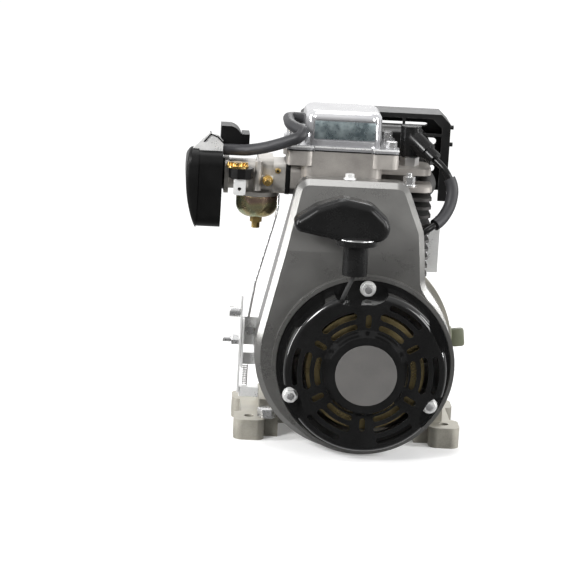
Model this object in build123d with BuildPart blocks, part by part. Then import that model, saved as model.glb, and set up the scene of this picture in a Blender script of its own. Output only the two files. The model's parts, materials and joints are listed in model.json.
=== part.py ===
from build123d import *
import math
import os

# Small upright single-cylinder engine with a recoil starter, in millimetres.
# +X is the exhaust side, -X the carburettor side, -Y the starter side, +Y the output side, +Z up.
# The origin is the centre of the base bolt pattern, on the underside of the feet.

# Crank and base
CRANK_X = 8.0
CRANK_Z = 84.0
BASE_SPACING_X = 180.0
BASE_SPACING_Y = 76.0
BASE_HOLE_R = 4.5
FOOT_LENGTH = 42.0
FOOT_DEPTH = 32.0
FOOT_HEIGHT = 19.0
RUNNING_GAP = 0.05
SEAT_GAP = 0.3

# Crankcase
CASE_FRONT = -38.0
CASE_BACK = 30.0
CASE_LEFT = -64.0
CASE_RIGHT = 74.0
CASE_BOTTOM = 8.0
CASE_TOP = 150.0
CASE_CORNER = 26.0
FRONT_FLANGE_R = 88.0
FRONT_FLANGE_X = 3.0
FRONT_FLANGE_Z = 94.0
FRONT_FLANGE_THICK = 8.0
COVER_DEPTH = 22.0
COVER_EDGE = 3.0
COVER_BOSS_R = 25.0
COVER_BOSS_DEPTH = 8.0
COVER_BOLT_R = 4.6
COVER_BOLT_HEAD = 5.0

# Output shaft
JOURNAL_R = 12.5
OUTPUT_R = 7.9375
OUTPUT_LENGTH = 50.0
TAP_R = 3.4
TAP_DEPTH = 22.0
KEY_WIDTH = 4.76
KEY_SINK = 2.6
KEY_LENGTH = 34.0
KEY_ANGLE = 36.0

# Flywheel and starter cup
FLYWHEEL_R = 62.0
FLYWHEEL_FRONT = -66.0
FLYWHEEL_BACK = -51.4
BLADE_HEIGHT = 10.0
BLADE_COUNT = 16
BLADE_INNER_R = 42.0
BLADE_THICK = 3.0
CUP_R = 53.5
CUP_FRONT = -112.5
CUP_WALL = 2.0
CUP_HUB_R = 18.0

# Fan shroud
SHROUD_BACK = -46.0
SHROUD_FACE = -84.0
SHROUD_WALL = 2.4
SHROUD_BEVEL = 5.0
SHROUD_CREASE_Z = 185.0
SHROUD_LEAN = 16.0
SHROUD_CREST_Z = 247.0
SHROUD_LEFT_TOP_X = -58.0
SHROUD_RIGHT_TOP_X = 40.0
SHROUD_SHOULDER = (56.5, 205.0)
SHROUD_WAIST = (60.0, 158.0)
VOLUTE_X = -1.0
VOLUTE_Z = 91.0
VOLUTE_R = 89.0
VOLUTE_RIGHT_ANGLE = 36.0
RING_R = 82.5
RING_LIP = 3.5
RING_FRONT = -92.0
RECOIL_SEAT = -88.0
RECOIL_OPENING_R = 64.0

# Recoil cover
RECOIL_R = 78.0
RECOIL_FLANGE = 2.5
RECOIL_BODY_R = 75.0
RECOIL_FACE = -120.0
RECOIL_WALL = 2.2
RECOIL_ROUND = 6.0
HUB_BASE_R = 39.5
HUB_FRONT = -129.0
DISC_R = 27.6
DISC_SINK = 1.0
DISC_PROUD = 0.6
BOLT_CIRCLE_R = 71.0
BOLT_HEAD_R = 6.0
BOLT_HEAD = 5.5
BOLT_FLANGE_R = 7.2
BOLT_FLANGE = 1.6
# Arc slots: radius of the middle line, width, arc in degrees
SLOT_RINGS = [(43.2, 5.0, 28.0), (53.2, 6.4, 30.0)]
OUTER_SLOT_R = 63.6
OUTER_SLOT_WIDTH = 4.8
SPOKE_SLOT_MID = 47.5
SPOKE_SLOT_LENGTH = 12.0
SPOKE_SLOT_WIDTH = 5.0
# Outer slots have no fellow in the sector of the big recess
OUTER_SLOT_ARC = 27.0
OUTER_SLOT_ANGLES = [58.0, 0.5, 177.0, 235.5, 298.0]
# Recesses in the dome: radius of the middle line, first angle, arc, width
RECESSES = [(76.5, 202.0, 6.0, 28.0), (76.5, 328.0, 6.0, 28.0), (84.0, 127.0, 18.0, 25.0),
            (80.5, 89.0, 13.0, 36.0), (81.0, 23.0, 12.0, 24.0), (91.0, 265.0, 6.0, 34.0)]
BOLT_ANGLES = [90.0, 205.0, 331.0]
BOLT_HOLE_R = 3.2
BOLT_SHANK_R = 2.9

# Pull handle
GUIDE_X = -6.5
GUIDE_Y = -109.0
NECK_R = 11.3
NECK_BOTTOM = 171.0
COLLAR_R = 19.0
COLLAR_Z = 199.0
COLLAR_HEIGHT = 5.0
GRIP_DEPTH = 28.0
GRIP_ROUND = 7.0
# Rounds whose hull is the grip: x, z, radius
GRIP_ROUNDS = [(-55.3, 216.4, 7.4), (-38.0, 221.0, 13.5), (-20.0, 221.5, 19.3),
               (-3.0, 219.3, 18.2), (9.5, 215.3, 12.8)]
ROPE_R = 1.9
ROPE_HOLD = 10.0
EYELET_X = -15.5
EYELET_Y = -104.0
EYELET_R = 7.0
EYELET_TOP = 147.5
EYELET_DEPTH = 7.0

# Cylinder, head and valve cover
BORE_AXIS_X = 8.0
BORE_AXIS_Y = -2.0
FIN_WIDTH = 116.0
FIN_DEPTH = 71.0
FIN_THICK = 2.6
FIN_PITCH = 7.8
FIN_CORNER = 10.0
CYLINDER_CORE = 62.0
CYLINDER_FINS = 6
HEAD_BOTTOM = 203.0
HEAD_FINS = 4
HEAD_CORE_WIDTH = 60.0
HEAD_CORE_DEPTH = 66.0
ROCKER_X = -18.0
ROCKER_WIDTH = 74.0
ROCKER_DEPTH = 66.0
ROCKER_BOTTOM = 232.0
ROCKER_HEIGHT = 36.5
CORE_LAP = 8.0
HEAD_RIGHT = 66.0
LEDGE_BACK = 30.0
LEDGES = [(234.0, 238.5, -34.0), (246.0, 252.0, -14.0)]
NUT_X = 44.5
NUT_Y = -25.0
NUT_R = 5.6
NUT_HEIGHT = 7.0
NUT_STUD_R = 2.6
EXHAUST_Y = 18.0
EXHAUST_Z = 226.0
EXHAUST_FACE = 50.0
EXHAUST_POCKET = 32.0
EXHAUST_DUCT = 24.0
PLUG_X = 46.5
PLUG_Y = 8.0
LUG_WIDTH = 25.0
LUG_DEPTH = 18.0
LUG_CORNER = 7.0
LUG_HEIGHT = 14.0
LUG_OUT_X = 51.3
LUG_OUT_Y = 35.5
BOLT_INSET = 7.3
SHEET_FLANGE = 4.5
VALVE_COVER_WIDTH = 71.5
VALVE_COVER_DEPTH = 62.0
VALVE_COVER_HEIGHT = 31.0
VALVE_COVER_CORNER = 13.0
VALVE_COVER_ROUND = 7.0
VALVE_COVER_TAPER = 2.0
VALVE_COVER_PANEL_X = 58.0
VALVE_COVER_PANEL_Z = 19.5
VALVE_COVER_PANEL_SINK = 2.0
COVER_SCREW_R = 5.2
COVER_SCREW_HEIGHT = 6.5

# Intake side
PORT_Z = 239.0
PORT_Y = -4.0
PORT_WIDTH = 46.0
PORT_HEIGHT = 29.0
INSULATOR_X = -64.0
INSULATOR_THICK = 4.5
FLANGE_THICK = 11.0
THROTTLE_LENGTH = 14.0
THROTTLE_DEPTH = 44.0
THROTTLE_HEIGHT = 27.0
BARREL_DEPTH = 40.0
BARREL_HEIGHT = 30.0
BARREL_RISE = 2.5
THROAT_R = 14.0
TUBE_X = -93.5
TUBE_Y = -28.0
TUBE_R = 3.1
TUBE_TOP = 255.0
TUBE_BOTTOM = 228.0
INLET_X = -84.6
INLET_Z = 237.5
INLET_LENGTH = 16.0
BOWL_X = -92.5
BOWL_Y = -6.0
BOWL_R = 19.2
BOWL_TOP = 221.5
BOWL_DEPTH = 21.0
BOWL_ROUND = 12.0
BOWL_COLLAR = 4.0
CARB_LEFT = -124.0
AIR_FLANGE_DEPTH = 46.0
AIR_FLANGE_HEIGHT = 32.0
AIR_FLANGE_THICK = 4.0
CHOKE_X = -109.2
CHOKE_Y = -33.0
CHOKE_BASE = 240.0
CHOKE_R = 11.4
CHOKE_HEIGHT = 9.5
CHOKE_ARM = 13.0
CHOKE_LID_X = -112.8
CHOKE_LID_R = 10.2
CHOKE_LID_THICK = 2.2
CHOKE_STEP_R = 5.5
BRACE_WIDTH = 11.0
BRACE_HEIGHT = 15.0
BRACE_THICK = 2.0
BRACE_HOLE_R = 1.7
AIR_RIGHT = -126.0
AIR_SPLIT = -148.0
AIR_LEFT = -159.0
AIR_FRONT = -36.0
AIR_BACK = 34.0
AIR_BOTTOM = 190.0
AIR_TOP = 268.5
AIR_TOP_BACK = 252.0
AIR_CORNER = 15.0
COVER_OVERLAP = 1.5
COVER_TOP_LEAN = 3.5
COVER_FOOT_LEAN = 11.0
COVER_ROUND = 4.0
SPIGOT_R = 4.0
SPIGOT_LENGTH = 9.0
PLATE_FRONT = -26.0
PLATE_BACK = -14.0
# Outline of the sloped plate from the top right corner of the base
PLATE_OUTLINE = [(-29.0, -10.5), (-29.0, -6.0), (-19.6, 3.8), (-13.0, 10.2), (-10.0, 8.3), (-4.4, 6.1),
                 (-0.5, 1.8), (-0.5, -10.5)]
SNORKEL_FRONT = -12.0
SNORKEL_BACK = 12.0
# Outline of the snorkel over its seat on the base: fin with a rounded end, and block
SNORKEL_NEAR = [(-2.5, -6.8), (-2.5, 20.5)]
SNORKEL_BEND = [(6.2, 20.5), (13.5, 16.7), (16.7, 9.5)]
SNORKEL_FAR = [(16.7, 13.5), (23.7, 13.5), (23.7, 3.0), (1.5, 3.0), (1.5, 0.7), (-0.5, 0.7), (-0.5, -6.8)]
HOSE_R = 5.2
HOSE_END_Z = 262.8
HOSE_Y = -18.0

# Exhaust side
GUARD_LEFT = -52.0
GUARD_RIGHT = 86.0
GUARD_FRONT = 38.0
GUARD_BACK = 98.0
GUARD_BOTTOM = 214.0
GUARD_TOP = 295.5
GUARD_SHEET = 2.0
GUARD_CUT = 9.0
GUARD_SLOPE_Y = 74.0
GUARD_SLOPE_DROP = 23.5
GUARD_RAIL = 4.5
GUARD_POST = 8.0
GUARD_WIRE = 2.5
GUARD_WIRE_X = 42.0
GUARD_WIRE_DROP = 19.5
GUARD_ROWS = 4
GUARD_PITCH = 13.0
GUARD_SLOT = 6.5
GUARD_NUB_R = 2.0
GUARD_NUB = 3.0
MUFFLER_LEFT = -38.0
MUFFLER_RIGHT = 70.0
MUFFLER_FRONT = 46.0
MUFFLER_BACK = 88.0
MUFFLER_HEIGHT = 50.0
MUFFLER_DROP = 19.5
MUFFLER_CORNER = 14.0
TAIL_X = 46.0
TAIL_R = 8.0
TAIL_WALL = 1.5
TAIL_LENGTH = 17.0
GUARD_BOSS_R = 3.2
GUARD_BOSS_X = [-24.0, 20.0]
GUARD_BOSS_Z = [-9.5, 3.5]
ELBOW_R = 8.5
ELBOW_BEND = 12.0
ELBOW_OUT = 22.0
ELBOW_END_X = 57.0
ELBOW_RISE = 19.0
DEFLECTOR_OUT = 11.0
DEFLECTOR_FRONT = -12.0
DEFLECTOR_BACK = 26.0
DEFLECTOR_THICK = 1.2
DEFLECTOR_HEIGHT = 46.0
FILLER_Y = -20.0
FILLER_Z = 98.0
FILLER_R = 10.0
FILLER_NECK = 19.0
FILLER_GRIP = 14.0
BRACKET_X = -101.0
BRACKET_Y = -35.7
BRACKET_THICK = 2.0
# Tabs of the control bracket on the crankcase: height of the middle, height
BRACKET_TABS = [(99.0, 26.0), (73.0, 11.0)]
BRACKET_PLATE_Z = 89.0
BRACKET_PLATE_DEPTH = 12.0
BRACKET_PLATE_HEIGHT = 46.0
SCREW_X = -94.0
SCREW_Z = 100.0
SCREW_R = 4.2
SCREW_HEAD = 3.0
ARM_THICK = 2.0
# Outline of the throttle arm: depth from the bracket, height
ARM_OUTLINE = [(-10.0, 133.0), (-4.0, 133.0), (0.0, 98.0), (-3.0, 42.0), (-9.0, 42.0), (-13.0, 98.0)]
PIVOT_Z = 92.0
PIVOT_R = 5.5
PIVOT_NUT = 7.0
PIVOT_STUD_R = 3.0
PIVOT_STUD = 8.0
CLAMP_Z = 118.0
CLAMP_R = 5.2
CLAMP_LENGTH = 10.0
ROD_R = 1.1
SPRING_X = -96.0
SPRING_R = 2.6
SPRING_BOTTOM = 48.0
SPRING_LENGTH = 19.5
LINK_X = -92.0
LINK_Z = 43.0
LINK_WIDTH = 18.0
LINK_HEIGHT = 9.4
LINK_DEPTH = 6.0
CREST_BOLT_X = -12.0
CREST_BOLT_Y = -56.0
CREST_BOLT_R = 4.2
CREST_BOLT_FLANGE = 1.4
CREST_BOLT_HEAD = 4.0
DRAIN_X = -74.0
DRAIN_Y = -40.0
DRAIN_R = 9.0
LEAD_R = 3.3
LEAD_RISE = 14.0
# Corners of the lead outside the fins: distance from the fins, depth, height
LEAD_OUT = [(20.0, -20.0, 238.0), (18.0, -24.0, 222.0), (10.0, -31.0, 209.0), (-3.0, -41.7, 202.0)]
PLUG_NECK_R = 5.5
CAP_R = 9.5
COIL_X = 38.0
COIL_Z = 160.0
COIL_WIDTH = 28.0
COIL_HEIGHT = 20.0
COIL_DEPTH = 14.0
SLEEVE_R = 5.5

os.makedirs("parts", exist_ok=True)


def front(y):
    # Plane seen from the starter side, with X to the right and Z up, at depth y.
    return Plane.XZ.offset(-y)


def side(x):
    # Plane seen from +X, with Y to the right and Z up.
    return Plane.YZ.offset(x)


def level(z):
    return Plane.XY.offset(z)


def save(builder, name):
    builder.part.label = name
    export_step(builder.part, f"parts/{name}.step")


def route(points):
    # Straight runs joined by arcs as large as the shorter run beside each corner allows.
    vectors = [Vector(*p) for p in points]
    radii = []
    for before, here, after in zip(vectors, vectors[1:], vectors[2:]):
        turn = math.radians((here - before).get_angle(after - here))
        shorter = min((here - before).length, (after - here).length)
        radii.append(0.45 * shorter / math.tan(turn / 2))
    print("radii", [round(r, 1) for r in radii])
    return radii


crank = (CRANK_X, CRANK_Z)
case_mid = ((CASE_LEFT + CASE_RIGHT) / 2, (CASE_BOTTOM + CASE_TOP) / 2)
case_width = CASE_RIGHT - CASE_LEFT
case_height = CASE_TOP - CASE_BOTTOM
cover_back = CASE_BACK + COVER_DEPTH
shaft_end = cover_back + COVER_BOSS_DEPTH + OUTPUT_LENGTH

# Crankcase with its four feet and round front flange
with BuildPart() as crankcase:
    with BuildSketch(front(CASE_FRONT)):
        with Locations(case_mid):
            RectangleRounded(case_width, case_height, CASE_CORNER)
    extrude(amount=CASE_FRONT - CASE_BACK)
    with BuildSketch(front(CASE_FRONT)):
        with Locations((FRONT_FLANGE_X, FRONT_FLANGE_Z)):
            Circle(FRONT_FLANGE_R)
        with Locations((CRANK_X, 0)):
            Rectangle(3 * FRONT_FLANGE_R, 2 * FOOT_HEIGHT - 8, mode=Mode.SUBTRACT)
    extrude(amount=FRONT_FLANGE_THICK)
    with BuildSketch(level(0)):
        with GridLocations(BASE_SPACING_X, BASE_SPACING_Y, 2, 2):
            RectangleRounded(FOOT_LENGTH - 14, FOOT_DEPTH, 8)
        web_depth = BASE_SPACING_Y / 2 + CASE_BACK - SEAT_GAP
        with Locations((-BASE_SPACING_X / 2 + 10, (CASE_BACK - SEAT_GAP - BASE_SPACING_Y / 2) / 2),
                       (BASE_SPACING_X / 2 - 10, (CASE_BACK - SEAT_GAP - BASE_SPACING_Y / 2) / 2)):
            Rectangle(34, web_depth)
    extrude(amount=FOOT_HEIGHT)
    with BuildSketch(front(-BASE_SPACING_Y / 2 + 8)):
        with Locations((CRANK_X / 2, CASE_BOTTOM + 14)):
            Rectangle(BASE_SPACING_X - 10, 22)
    extrude(amount=-(CASE_BACK - SEAT_GAP + BASE_SPACING_Y / 2 - 8))
    with Locations(*[(x, y, 0) for x in (-BASE_SPACING_X / 2, BASE_SPACING_X / 2)
                     for y in (-BASE_SPACING_Y / 2, BASE_SPACING_Y / 2)]):
        Cylinder(BASE_HOLE_R, 3 * FOOT_HEIGHT, mode=Mode.SUBTRACT)
    with BuildSketch(front(CASE_BACK)):
        with Locations(crank):
            Circle(JOURNAL_R + RUNNING_GAP)
    extrude(amount=CASE_BACK - CASE_FRONT + FRONT_FLANGE_THICK, mode=Mode.SUBTRACT)
save(crankcase, "crankcase")

# Side cover on the output side, with its shaft boss
with BuildPart() as side_cover:
    with BuildSketch(front(CASE_BACK)):
        with Locations(case_mid):
            RectangleRounded(case_width + 2 * COVER_EDGE, case_height, CASE_CORNER)
    extrude(amount=-COVER_DEPTH)
    with BuildSketch(front(cover_back)):
        with Locations(crank):
            Circle(COVER_BOSS_R)
    extrude(amount=-COVER_BOSS_DEPTH)
    with BuildSketch(front(CASE_BACK)):
        with Locations(crank):
            Circle(JOURNAL_R + RUNNING_GAP)
    extrude(amount=-COVER_DEPTH - COVER_BOSS_DEPTH, mode=Mode.SUBTRACT)
save(side_cover, "side_cover")

with BuildPart() as cover_bolts:
    with BuildSketch(front(cover_back)):
        with Locations(case_mid):
            with GridLocations(case_width - 14, case_height - 34, 2, 2):
                RegularPolygon(COVER_BOLT_R, 6)
            with Locations((0, case_height / 2 - 8), (0, 8 - case_height / 2)):
                RegularPolygon(COVER_BOLT_R, 6)
    extrude(amount=-COVER_BOLT_HEAD)
save(cover_bolts, "cover_bolts")

# Crankshaft: journal, output end with keyway and tapped hole, and the flywheel seat
key_plane = Plane(origin=(CRANK_X, shaft_end, CRANK_Z), x_dir=(1, 0, 0), z_dir=(0, -1, 0))
with BuildPart() as output_shaft:
    with BuildSketch(front(FLYWHEEL_FRONT)):
        with Locations(crank):
            Circle(JOURNAL_R)
    extrude(amount=FLYWHEEL_FRONT - cover_back - COVER_BOSS_DEPTH)
    with BuildSketch(front(cover_back + COVER_BOSS_DEPTH)):
        with Locations(crank):
            Circle(OUTPUT_R)
    extrude(amount=-OUTPUT_LENGTH)
    with BuildSketch(front(shaft_end)):
        with Locations(crank):
            Circle(TAP_R)
    extrude(amount=TAP_DEPTH, mode=Mode.SUBTRACT)
    with BuildSketch(key_plane):
        with PolarLocations(OUTPUT_R - KEY_SINK + KEY_WIDTH / 2, 1, start_angle=90 + KEY_ANGLE):
            Rectangle(KEY_WIDTH, KEY_WIDTH)
    extrude(amount=KEY_LENGTH, mode=Mode.SUBTRACT)
save(output_shaft, "output_shaft")

# Flywheel with its fan blades
with BuildPart() as flywheel:
    with BuildSketch(front(FLYWHEEL_BACK)):
        with Locations(crank):
            Circle(FLYWHEEL_R)
    extrude(amount=FLYWHEEL_BACK - FLYWHEEL_FRONT)
    with BuildSketch(front(FLYWHEEL_FRONT)):
        with Locations(crank):
            with PolarLocations((BLADE_INNER_R + FLYWHEEL_R) / 2, BLADE_COUNT):
                Rectangle(FLYWHEEL_R - BLADE_INNER_R - 2, BLADE_THICK)
    extrude(amount=BLADE_HEIGHT)
    with BuildSketch(front(FLYWHEEL_BACK)):
        with Locations(crank):
            Circle(JOURNAL_R)
    extrude(amount=FLYWHEEL_BACK - FLYWHEEL_FRONT, mode=Mode.SUBTRACT)
save(flywheel, "flywheel")

# Starter cup, bolted over the end of the shaft
cup_back = FLYWHEEL_FRONT - BLADE_HEIGHT
with BuildPart() as starter_cup:
    with BuildSketch(front(cup_back)):
        with Locations(crank):
            Circle(CUP_R)
    extrude(amount=cup_back - CUP_FRONT)
    with BuildSketch(front(cup_back)):
        with Locations(crank):
            Circle(CUP_R - CUP_WALL)
    extrude(amount=cup_back - CUP_FRONT - CUP_WALL, mode=Mode.SUBTRACT)
    with BuildSketch(front(FLYWHEEL_FRONT)):
        with Locations(crank):
            Circle(CUP_HUB_R)
    extrude(amount=FLYWHEEL_FRONT - CUP_FRONT)
save(starter_cup, "starter_cup")


def volute_point(angle):
    turn = math.radians(angle)
    return (VOLUTE_X + VOLUTE_R * math.cos(turn), VOLUTE_Z + VOLUTE_R * math.sin(turn))


def shroud_form(wall):
    # Outer form of the shroud, or its inside when wall is over zero. The left wall runs tangent to the volute.
    left_top = (SHROUD_LEFT_TOP_X, SHROUD_CREST_Z)
    right_top = (SHROUD_RIGHT_TOP_X, SHROUD_CREST_Z)
    reach = math.hypot(left_top[0] - VOLUTE_X, left_top[1] - VOLUTE_Z)
    bearing = math.degrees(math.atan2(left_top[1] - VOLUTE_Z, left_top[0] - VOLUTE_X))
    left_angle = bearing + math.degrees(math.acos(VOLUTE_R / reach))
    start = volute_point(left_angle)
    end = volute_point(VOLUTE_RIGHT_ANGLE)
    with BuildPart() as form:
        with BuildSketch(front(SHROUD_BACK)):
            with BuildLine():
                FilletPolyline(start, left_top, right_top, SHROUD_SHOULDER, SHROUD_WAIST, end,
                               radius=[13, 14, 24, 20])
                CenterArc((VOLUTE_X, VOLUTE_Z), VOLUTE_R, VOLUTE_RIGHT_ANGLE,
                          left_angle - VOLUTE_RIGHT_ANGLE - 360)
            make_face()
            if wall:
                offset(amount=-wall)
        extrude(amount=SHROUD_BACK - SHROUD_FACE - wall)
        # The face above the crease leans back
        face_y = SHROUD_FACE + wall
        cut_top = SHROUD_CREST_Z + 20
        lean_y = (cut_top - SHROUD_CREASE_Z) * math.tan(math.radians(SHROUD_LEAN))
        with BuildSketch(side(-2 * VOLUTE_R)):
            with BuildLine():
                Polyline((face_y, SHROUD_CREASE_Z), (face_y + lean_y, cut_top), (face_y - 10, cut_top),
                         (face_y - 10, SHROUD_CREASE_Z), (face_y, SHROUD_CREASE_Z))
            make_face()
        extrude(amount=4 * VOLUTE_R, mode=Mode.SUBTRACT)
        broad = [f for f in form.faces() if f.normal_at().Y < -0.7]
        rim = [e for f in broad for e in f.edges()]
        bevel = [e for e in rim if abs(e.center().Z - SHROUD_CREASE_Z) > 0.5 or e.length < 60]
        chamfer(bevel, SHROUD_BEVEL - wall / 4)
    return form.part


shroud_outer = shroud_form(0.0)
shroud_inner = shroud_form(SHROUD_WALL)

with BuildPart() as fan_shroud:
    add(shroud_outer)
    with BuildSketch(front(SHROUD_BACK - 14)):
        with Locations(crank):
            Circle(RING_R)
    extrude(amount=SHROUD_BACK - 14 - RING_FRONT)
    add(shroud_inner, mode=Mode.SUBTRACT)
    with BuildSketch(front(SHROUD_BACK - 14)):
        with Locations(crank):
            Circle(RING_R - RING_LIP)
    extrude(amount=SHROUD_BACK - 14 - RECOIL_SEAT - SHROUD_WALL, mode=Mode.SUBTRACT)
    with BuildSketch(front(RECOIL_SEAT)):
        with Locations(crank):
            Circle(RING_R - RING_LIP)
    extrude(amount=10, mode=Mode.SUBTRACT)
    with BuildSketch(front(SHROUD_BACK - 14)):
        with Locations(crank):
            Circle(RECOIL_OPENING_R)
    extrude(amount=50, mode=Mode.SUBTRACT)
save(fan_shroud, "fan_shroud")


def recoil_form(inset):
    # Domed starter cover with its bolt pockets and recesses, or its hollow when inset is over zero.
    with BuildSketch() as recesses:
        for radius, first, arc, width in RECESSES:
            SlotArc(CenterArc((0, 0), radius, first, arc, mode=Mode.PRIVATE), height=width + 2 * inset)
    with BuildPart() as form:
        with BuildSketch(front(RECOIL_SEAT)):
            with Locations(crank):
                Circle(RECOIL_BODY_R - inset)
        extrude(amount=RECOIL_SEAT - RECOIL_FACE - inset, taper=4)
        front_rim = form.faces().sort_by(Axis.Y)[0].edges()
        fillet(front_rim, RECOIL_ROUND - inset)
        with BuildSketch(front(RECOIL_FACE)):
            with Locations(crank):
                Circle(HUB_BASE_R - inset)
        extrude(amount=RECOIL_FACE - HUB_FRONT - inset, taper=28)
        floor = RECOIL_SEAT - RECOIL_FLANGE + inset
        with BuildSketch(front(floor)):
            with Locations(crank):
                add(recesses.sketch)
        extrude(amount=60, mode=Mode.SUBTRACT)
    return form.part


recoil_outer = recoil_form(0.0)
recoil_inner = recoil_form(RECOIL_WALL)

# Arc slots of one sector, drawn below the crank axis, and the outer slots
with BuildSketch() as inner_slots:
    for radius, width, arc in SLOT_RINGS:
        SlotArc(CenterArc((0, 0), radius, 270 - arc / 2, arc, mode=Mode.PRIVATE), height=width)

with BuildSketch() as outer_slots:
    for angle in OUTER_SLOT_ANGLES:
        SlotArc(CenterArc((0, 0), OUTER_SLOT_R, angle - OUTER_SLOT_ARC / 2, OUTER_SLOT_ARC, mode=Mode.PRIVATE),
                height=OUTER_SLOT_WIDTH)


def bolt_spot(angle):
    turn = math.radians(angle)
    return (CRANK_X + BOLT_CIRCLE_R * math.cos(turn), CRANK_Z + BOLT_CIRCLE_R * math.sin(turn))


rope_start = Vector(EYELET_X, EYELET_Y, EYELET_TOP) - (Vector(GUIDE_X, GUIDE_Y, NECK_BOTTOM)
                                                        - Vector(EYELET_X, EYELET_Y, EYELET_TOP)) * 0.4
rope_axis = Vector(GUIDE_X, GUIDE_Y, NECK_BOTTOM) - rope_start
rope_length = rope_axis.length + ROPE_HOLD

# Recoil starter cover: flange, dome, rope eyelet and air slots
with BuildPart() as recoil_cover:
    add(recoil_outer)
    with BuildSketch(front(RECOIL_SEAT)):
        with Locations(crank):
            Circle(RECOIL_R)
    extrude(amount=RECOIL_FLANGE)
    add(recoil_inner, mode=Mode.SUBTRACT)
    with BuildSketch(level(EYELET_TOP)):
        with Locations((EYELET_X, EYELET_Y)):
            Circle(EYELET_R)
    extrude(amount=-EYELET_DEPTH)
    with BuildSketch(Plane(origin=rope_start, z_dir=rope_axis)):
        Circle(ROPE_R + SEAT_GAP)
    extrude(amount=2 * EYELET_DEPTH, mode=Mode.SUBTRACT)
    with BuildSketch(front(RECOIL_FACE + RECOIL_WALL + 4)):
        with Locations(crank):
            with PolarLocations(0, 6, start_angle=30):
                add(inner_slots.sketch)
            add(outer_slots.sketch)
            with PolarLocations(SPOKE_SLOT_MID, 6, start_angle=30):
                SlotOverall(SPOKE_SLOT_LENGTH, SPOKE_SLOT_WIDTH)
    extrude(amount=12, mode=Mode.SUBTRACT)
    with BuildSketch(front(HUB_FRONT)):
        with Locations(crank):
            Circle(DISC_R + SEAT_GAP)
    extrude(amount=-DISC_SINK, mode=Mode.SUBTRACT)
    with BuildSketch(front(RECOIL_SEAT + 5)):
        for angle in BOLT_ANGLES:
            with Locations(bolt_spot(angle)):
                Circle(BOLT_HOLE_R)
    extrude(amount=10, mode=Mode.SUBTRACT)
save(recoil_cover, "recoil_cover")

with BuildPart() as centre_disc:
    with BuildSketch(front(HUB_FRONT + DISC_SINK)):
        with Locations(crank):
            Circle(DISC_R)
    extrude(amount=DISC_SINK + DISC_PROUD)
save(centre_disc, "centre_disc")

with BuildPart() as recoil_bolts:
    for angle in BOLT_ANGLES:
        spot = bolt_spot(angle)
        with BuildSketch(front(RECOIL_SEAT - RECOIL_FLANGE)):
            with Locations(spot):
                Circle(BOLT_FLANGE_R)
        extrude(amount=BOLT_FLANGE)
        with BuildSketch(front(RECOIL_SEAT - RECOIL_FLANGE - BOLT_FLANGE)):
            with Locations(spot):
                RegularPolygon(BOLT_HEAD_R, 6)
        extrude(amount=BOLT_HEAD)
        with BuildSketch(front(RECOIL_SEAT - RECOIL_FLANGE)):
            with Locations(spot):
                Circle(BOLT_SHANK_R)
        extrude(amount=-RECOIL_FLANGE)
save(recoil_bolts, "recoil_bolts")

# Pull handle: leaf-shaped grip, collar and neck
with BuildPart() as pull_handle:
    with BuildSketch(front(GUIDE_Y + GRIP_DEPTH / 2)):
        for round_x, round_z, radius in GRIP_ROUNDS:
            with Locations((round_x, round_z)):
                Circle(radius)
        make_hull()
    extrude(amount=GRIP_DEPTH)
    grip_rim = [e for e in pull_handle.edges() if abs(e.center().Y - GUIDE_Y) > GRIP_DEPTH / 2 - 0.1]
    fillet(grip_rim, GRIP_ROUND)
    with BuildSketch(level(COLLAR_Z)):
        with Locations((GUIDE_X, GUIDE_Y)):
            Circle(COLLAR_R)
    extrude(amount=COLLAR_HEIGHT)
    with BuildSketch(level(NECK_BOTTOM)):
        with Locations((GUIDE_X, GUIDE_Y)):
            Circle(NECK_R)
    extrude(amount=COLLAR_Z - NECK_BOTTOM)
    with BuildSketch(Plane(origin=rope_start, z_dir=rope_axis)):
        Circle(ROPE_R)
    extrude(amount=rope_length, mode=Mode.SUBTRACT)
save(pull_handle, "pull_handle")

with BuildPart() as pull_rope:
    with BuildSketch(Plane(origin=rope_start, z_dir=rope_axis)):
        Circle(ROPE_R)
    extrude(amount=rope_length)
save(pull_rope, "pull_rope")

# Finned cylinder
fin_bottom = HEAD_BOTTOM - CYLINDER_FINS * FIN_PITCH
with BuildPart() as cylinder:
    with BuildSketch(level(CASE_TOP)):
        with Locations((BORE_AXIS_X, BORE_AXIS_Y)):
            RectangleRounded(CYLINDER_CORE, CYLINDER_CORE, 18)
    extrude(amount=HEAD_BOTTOM - CASE_TOP)
    for row in range(CYLINDER_FINS):
        with BuildSketch(level(fin_bottom + row * FIN_PITCH)):
            with Locations((BORE_AXIS_X, BORE_AXIS_Y)):
                RectangleRounded(FIN_WIDTH, FIN_DEPTH, FIN_CORNER)
        extrude(amount=FIN_THICK)
save(cylinder, "cylinder")

rocker_top = ROCKER_BOTTOM + ROCKER_HEIGHT

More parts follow.
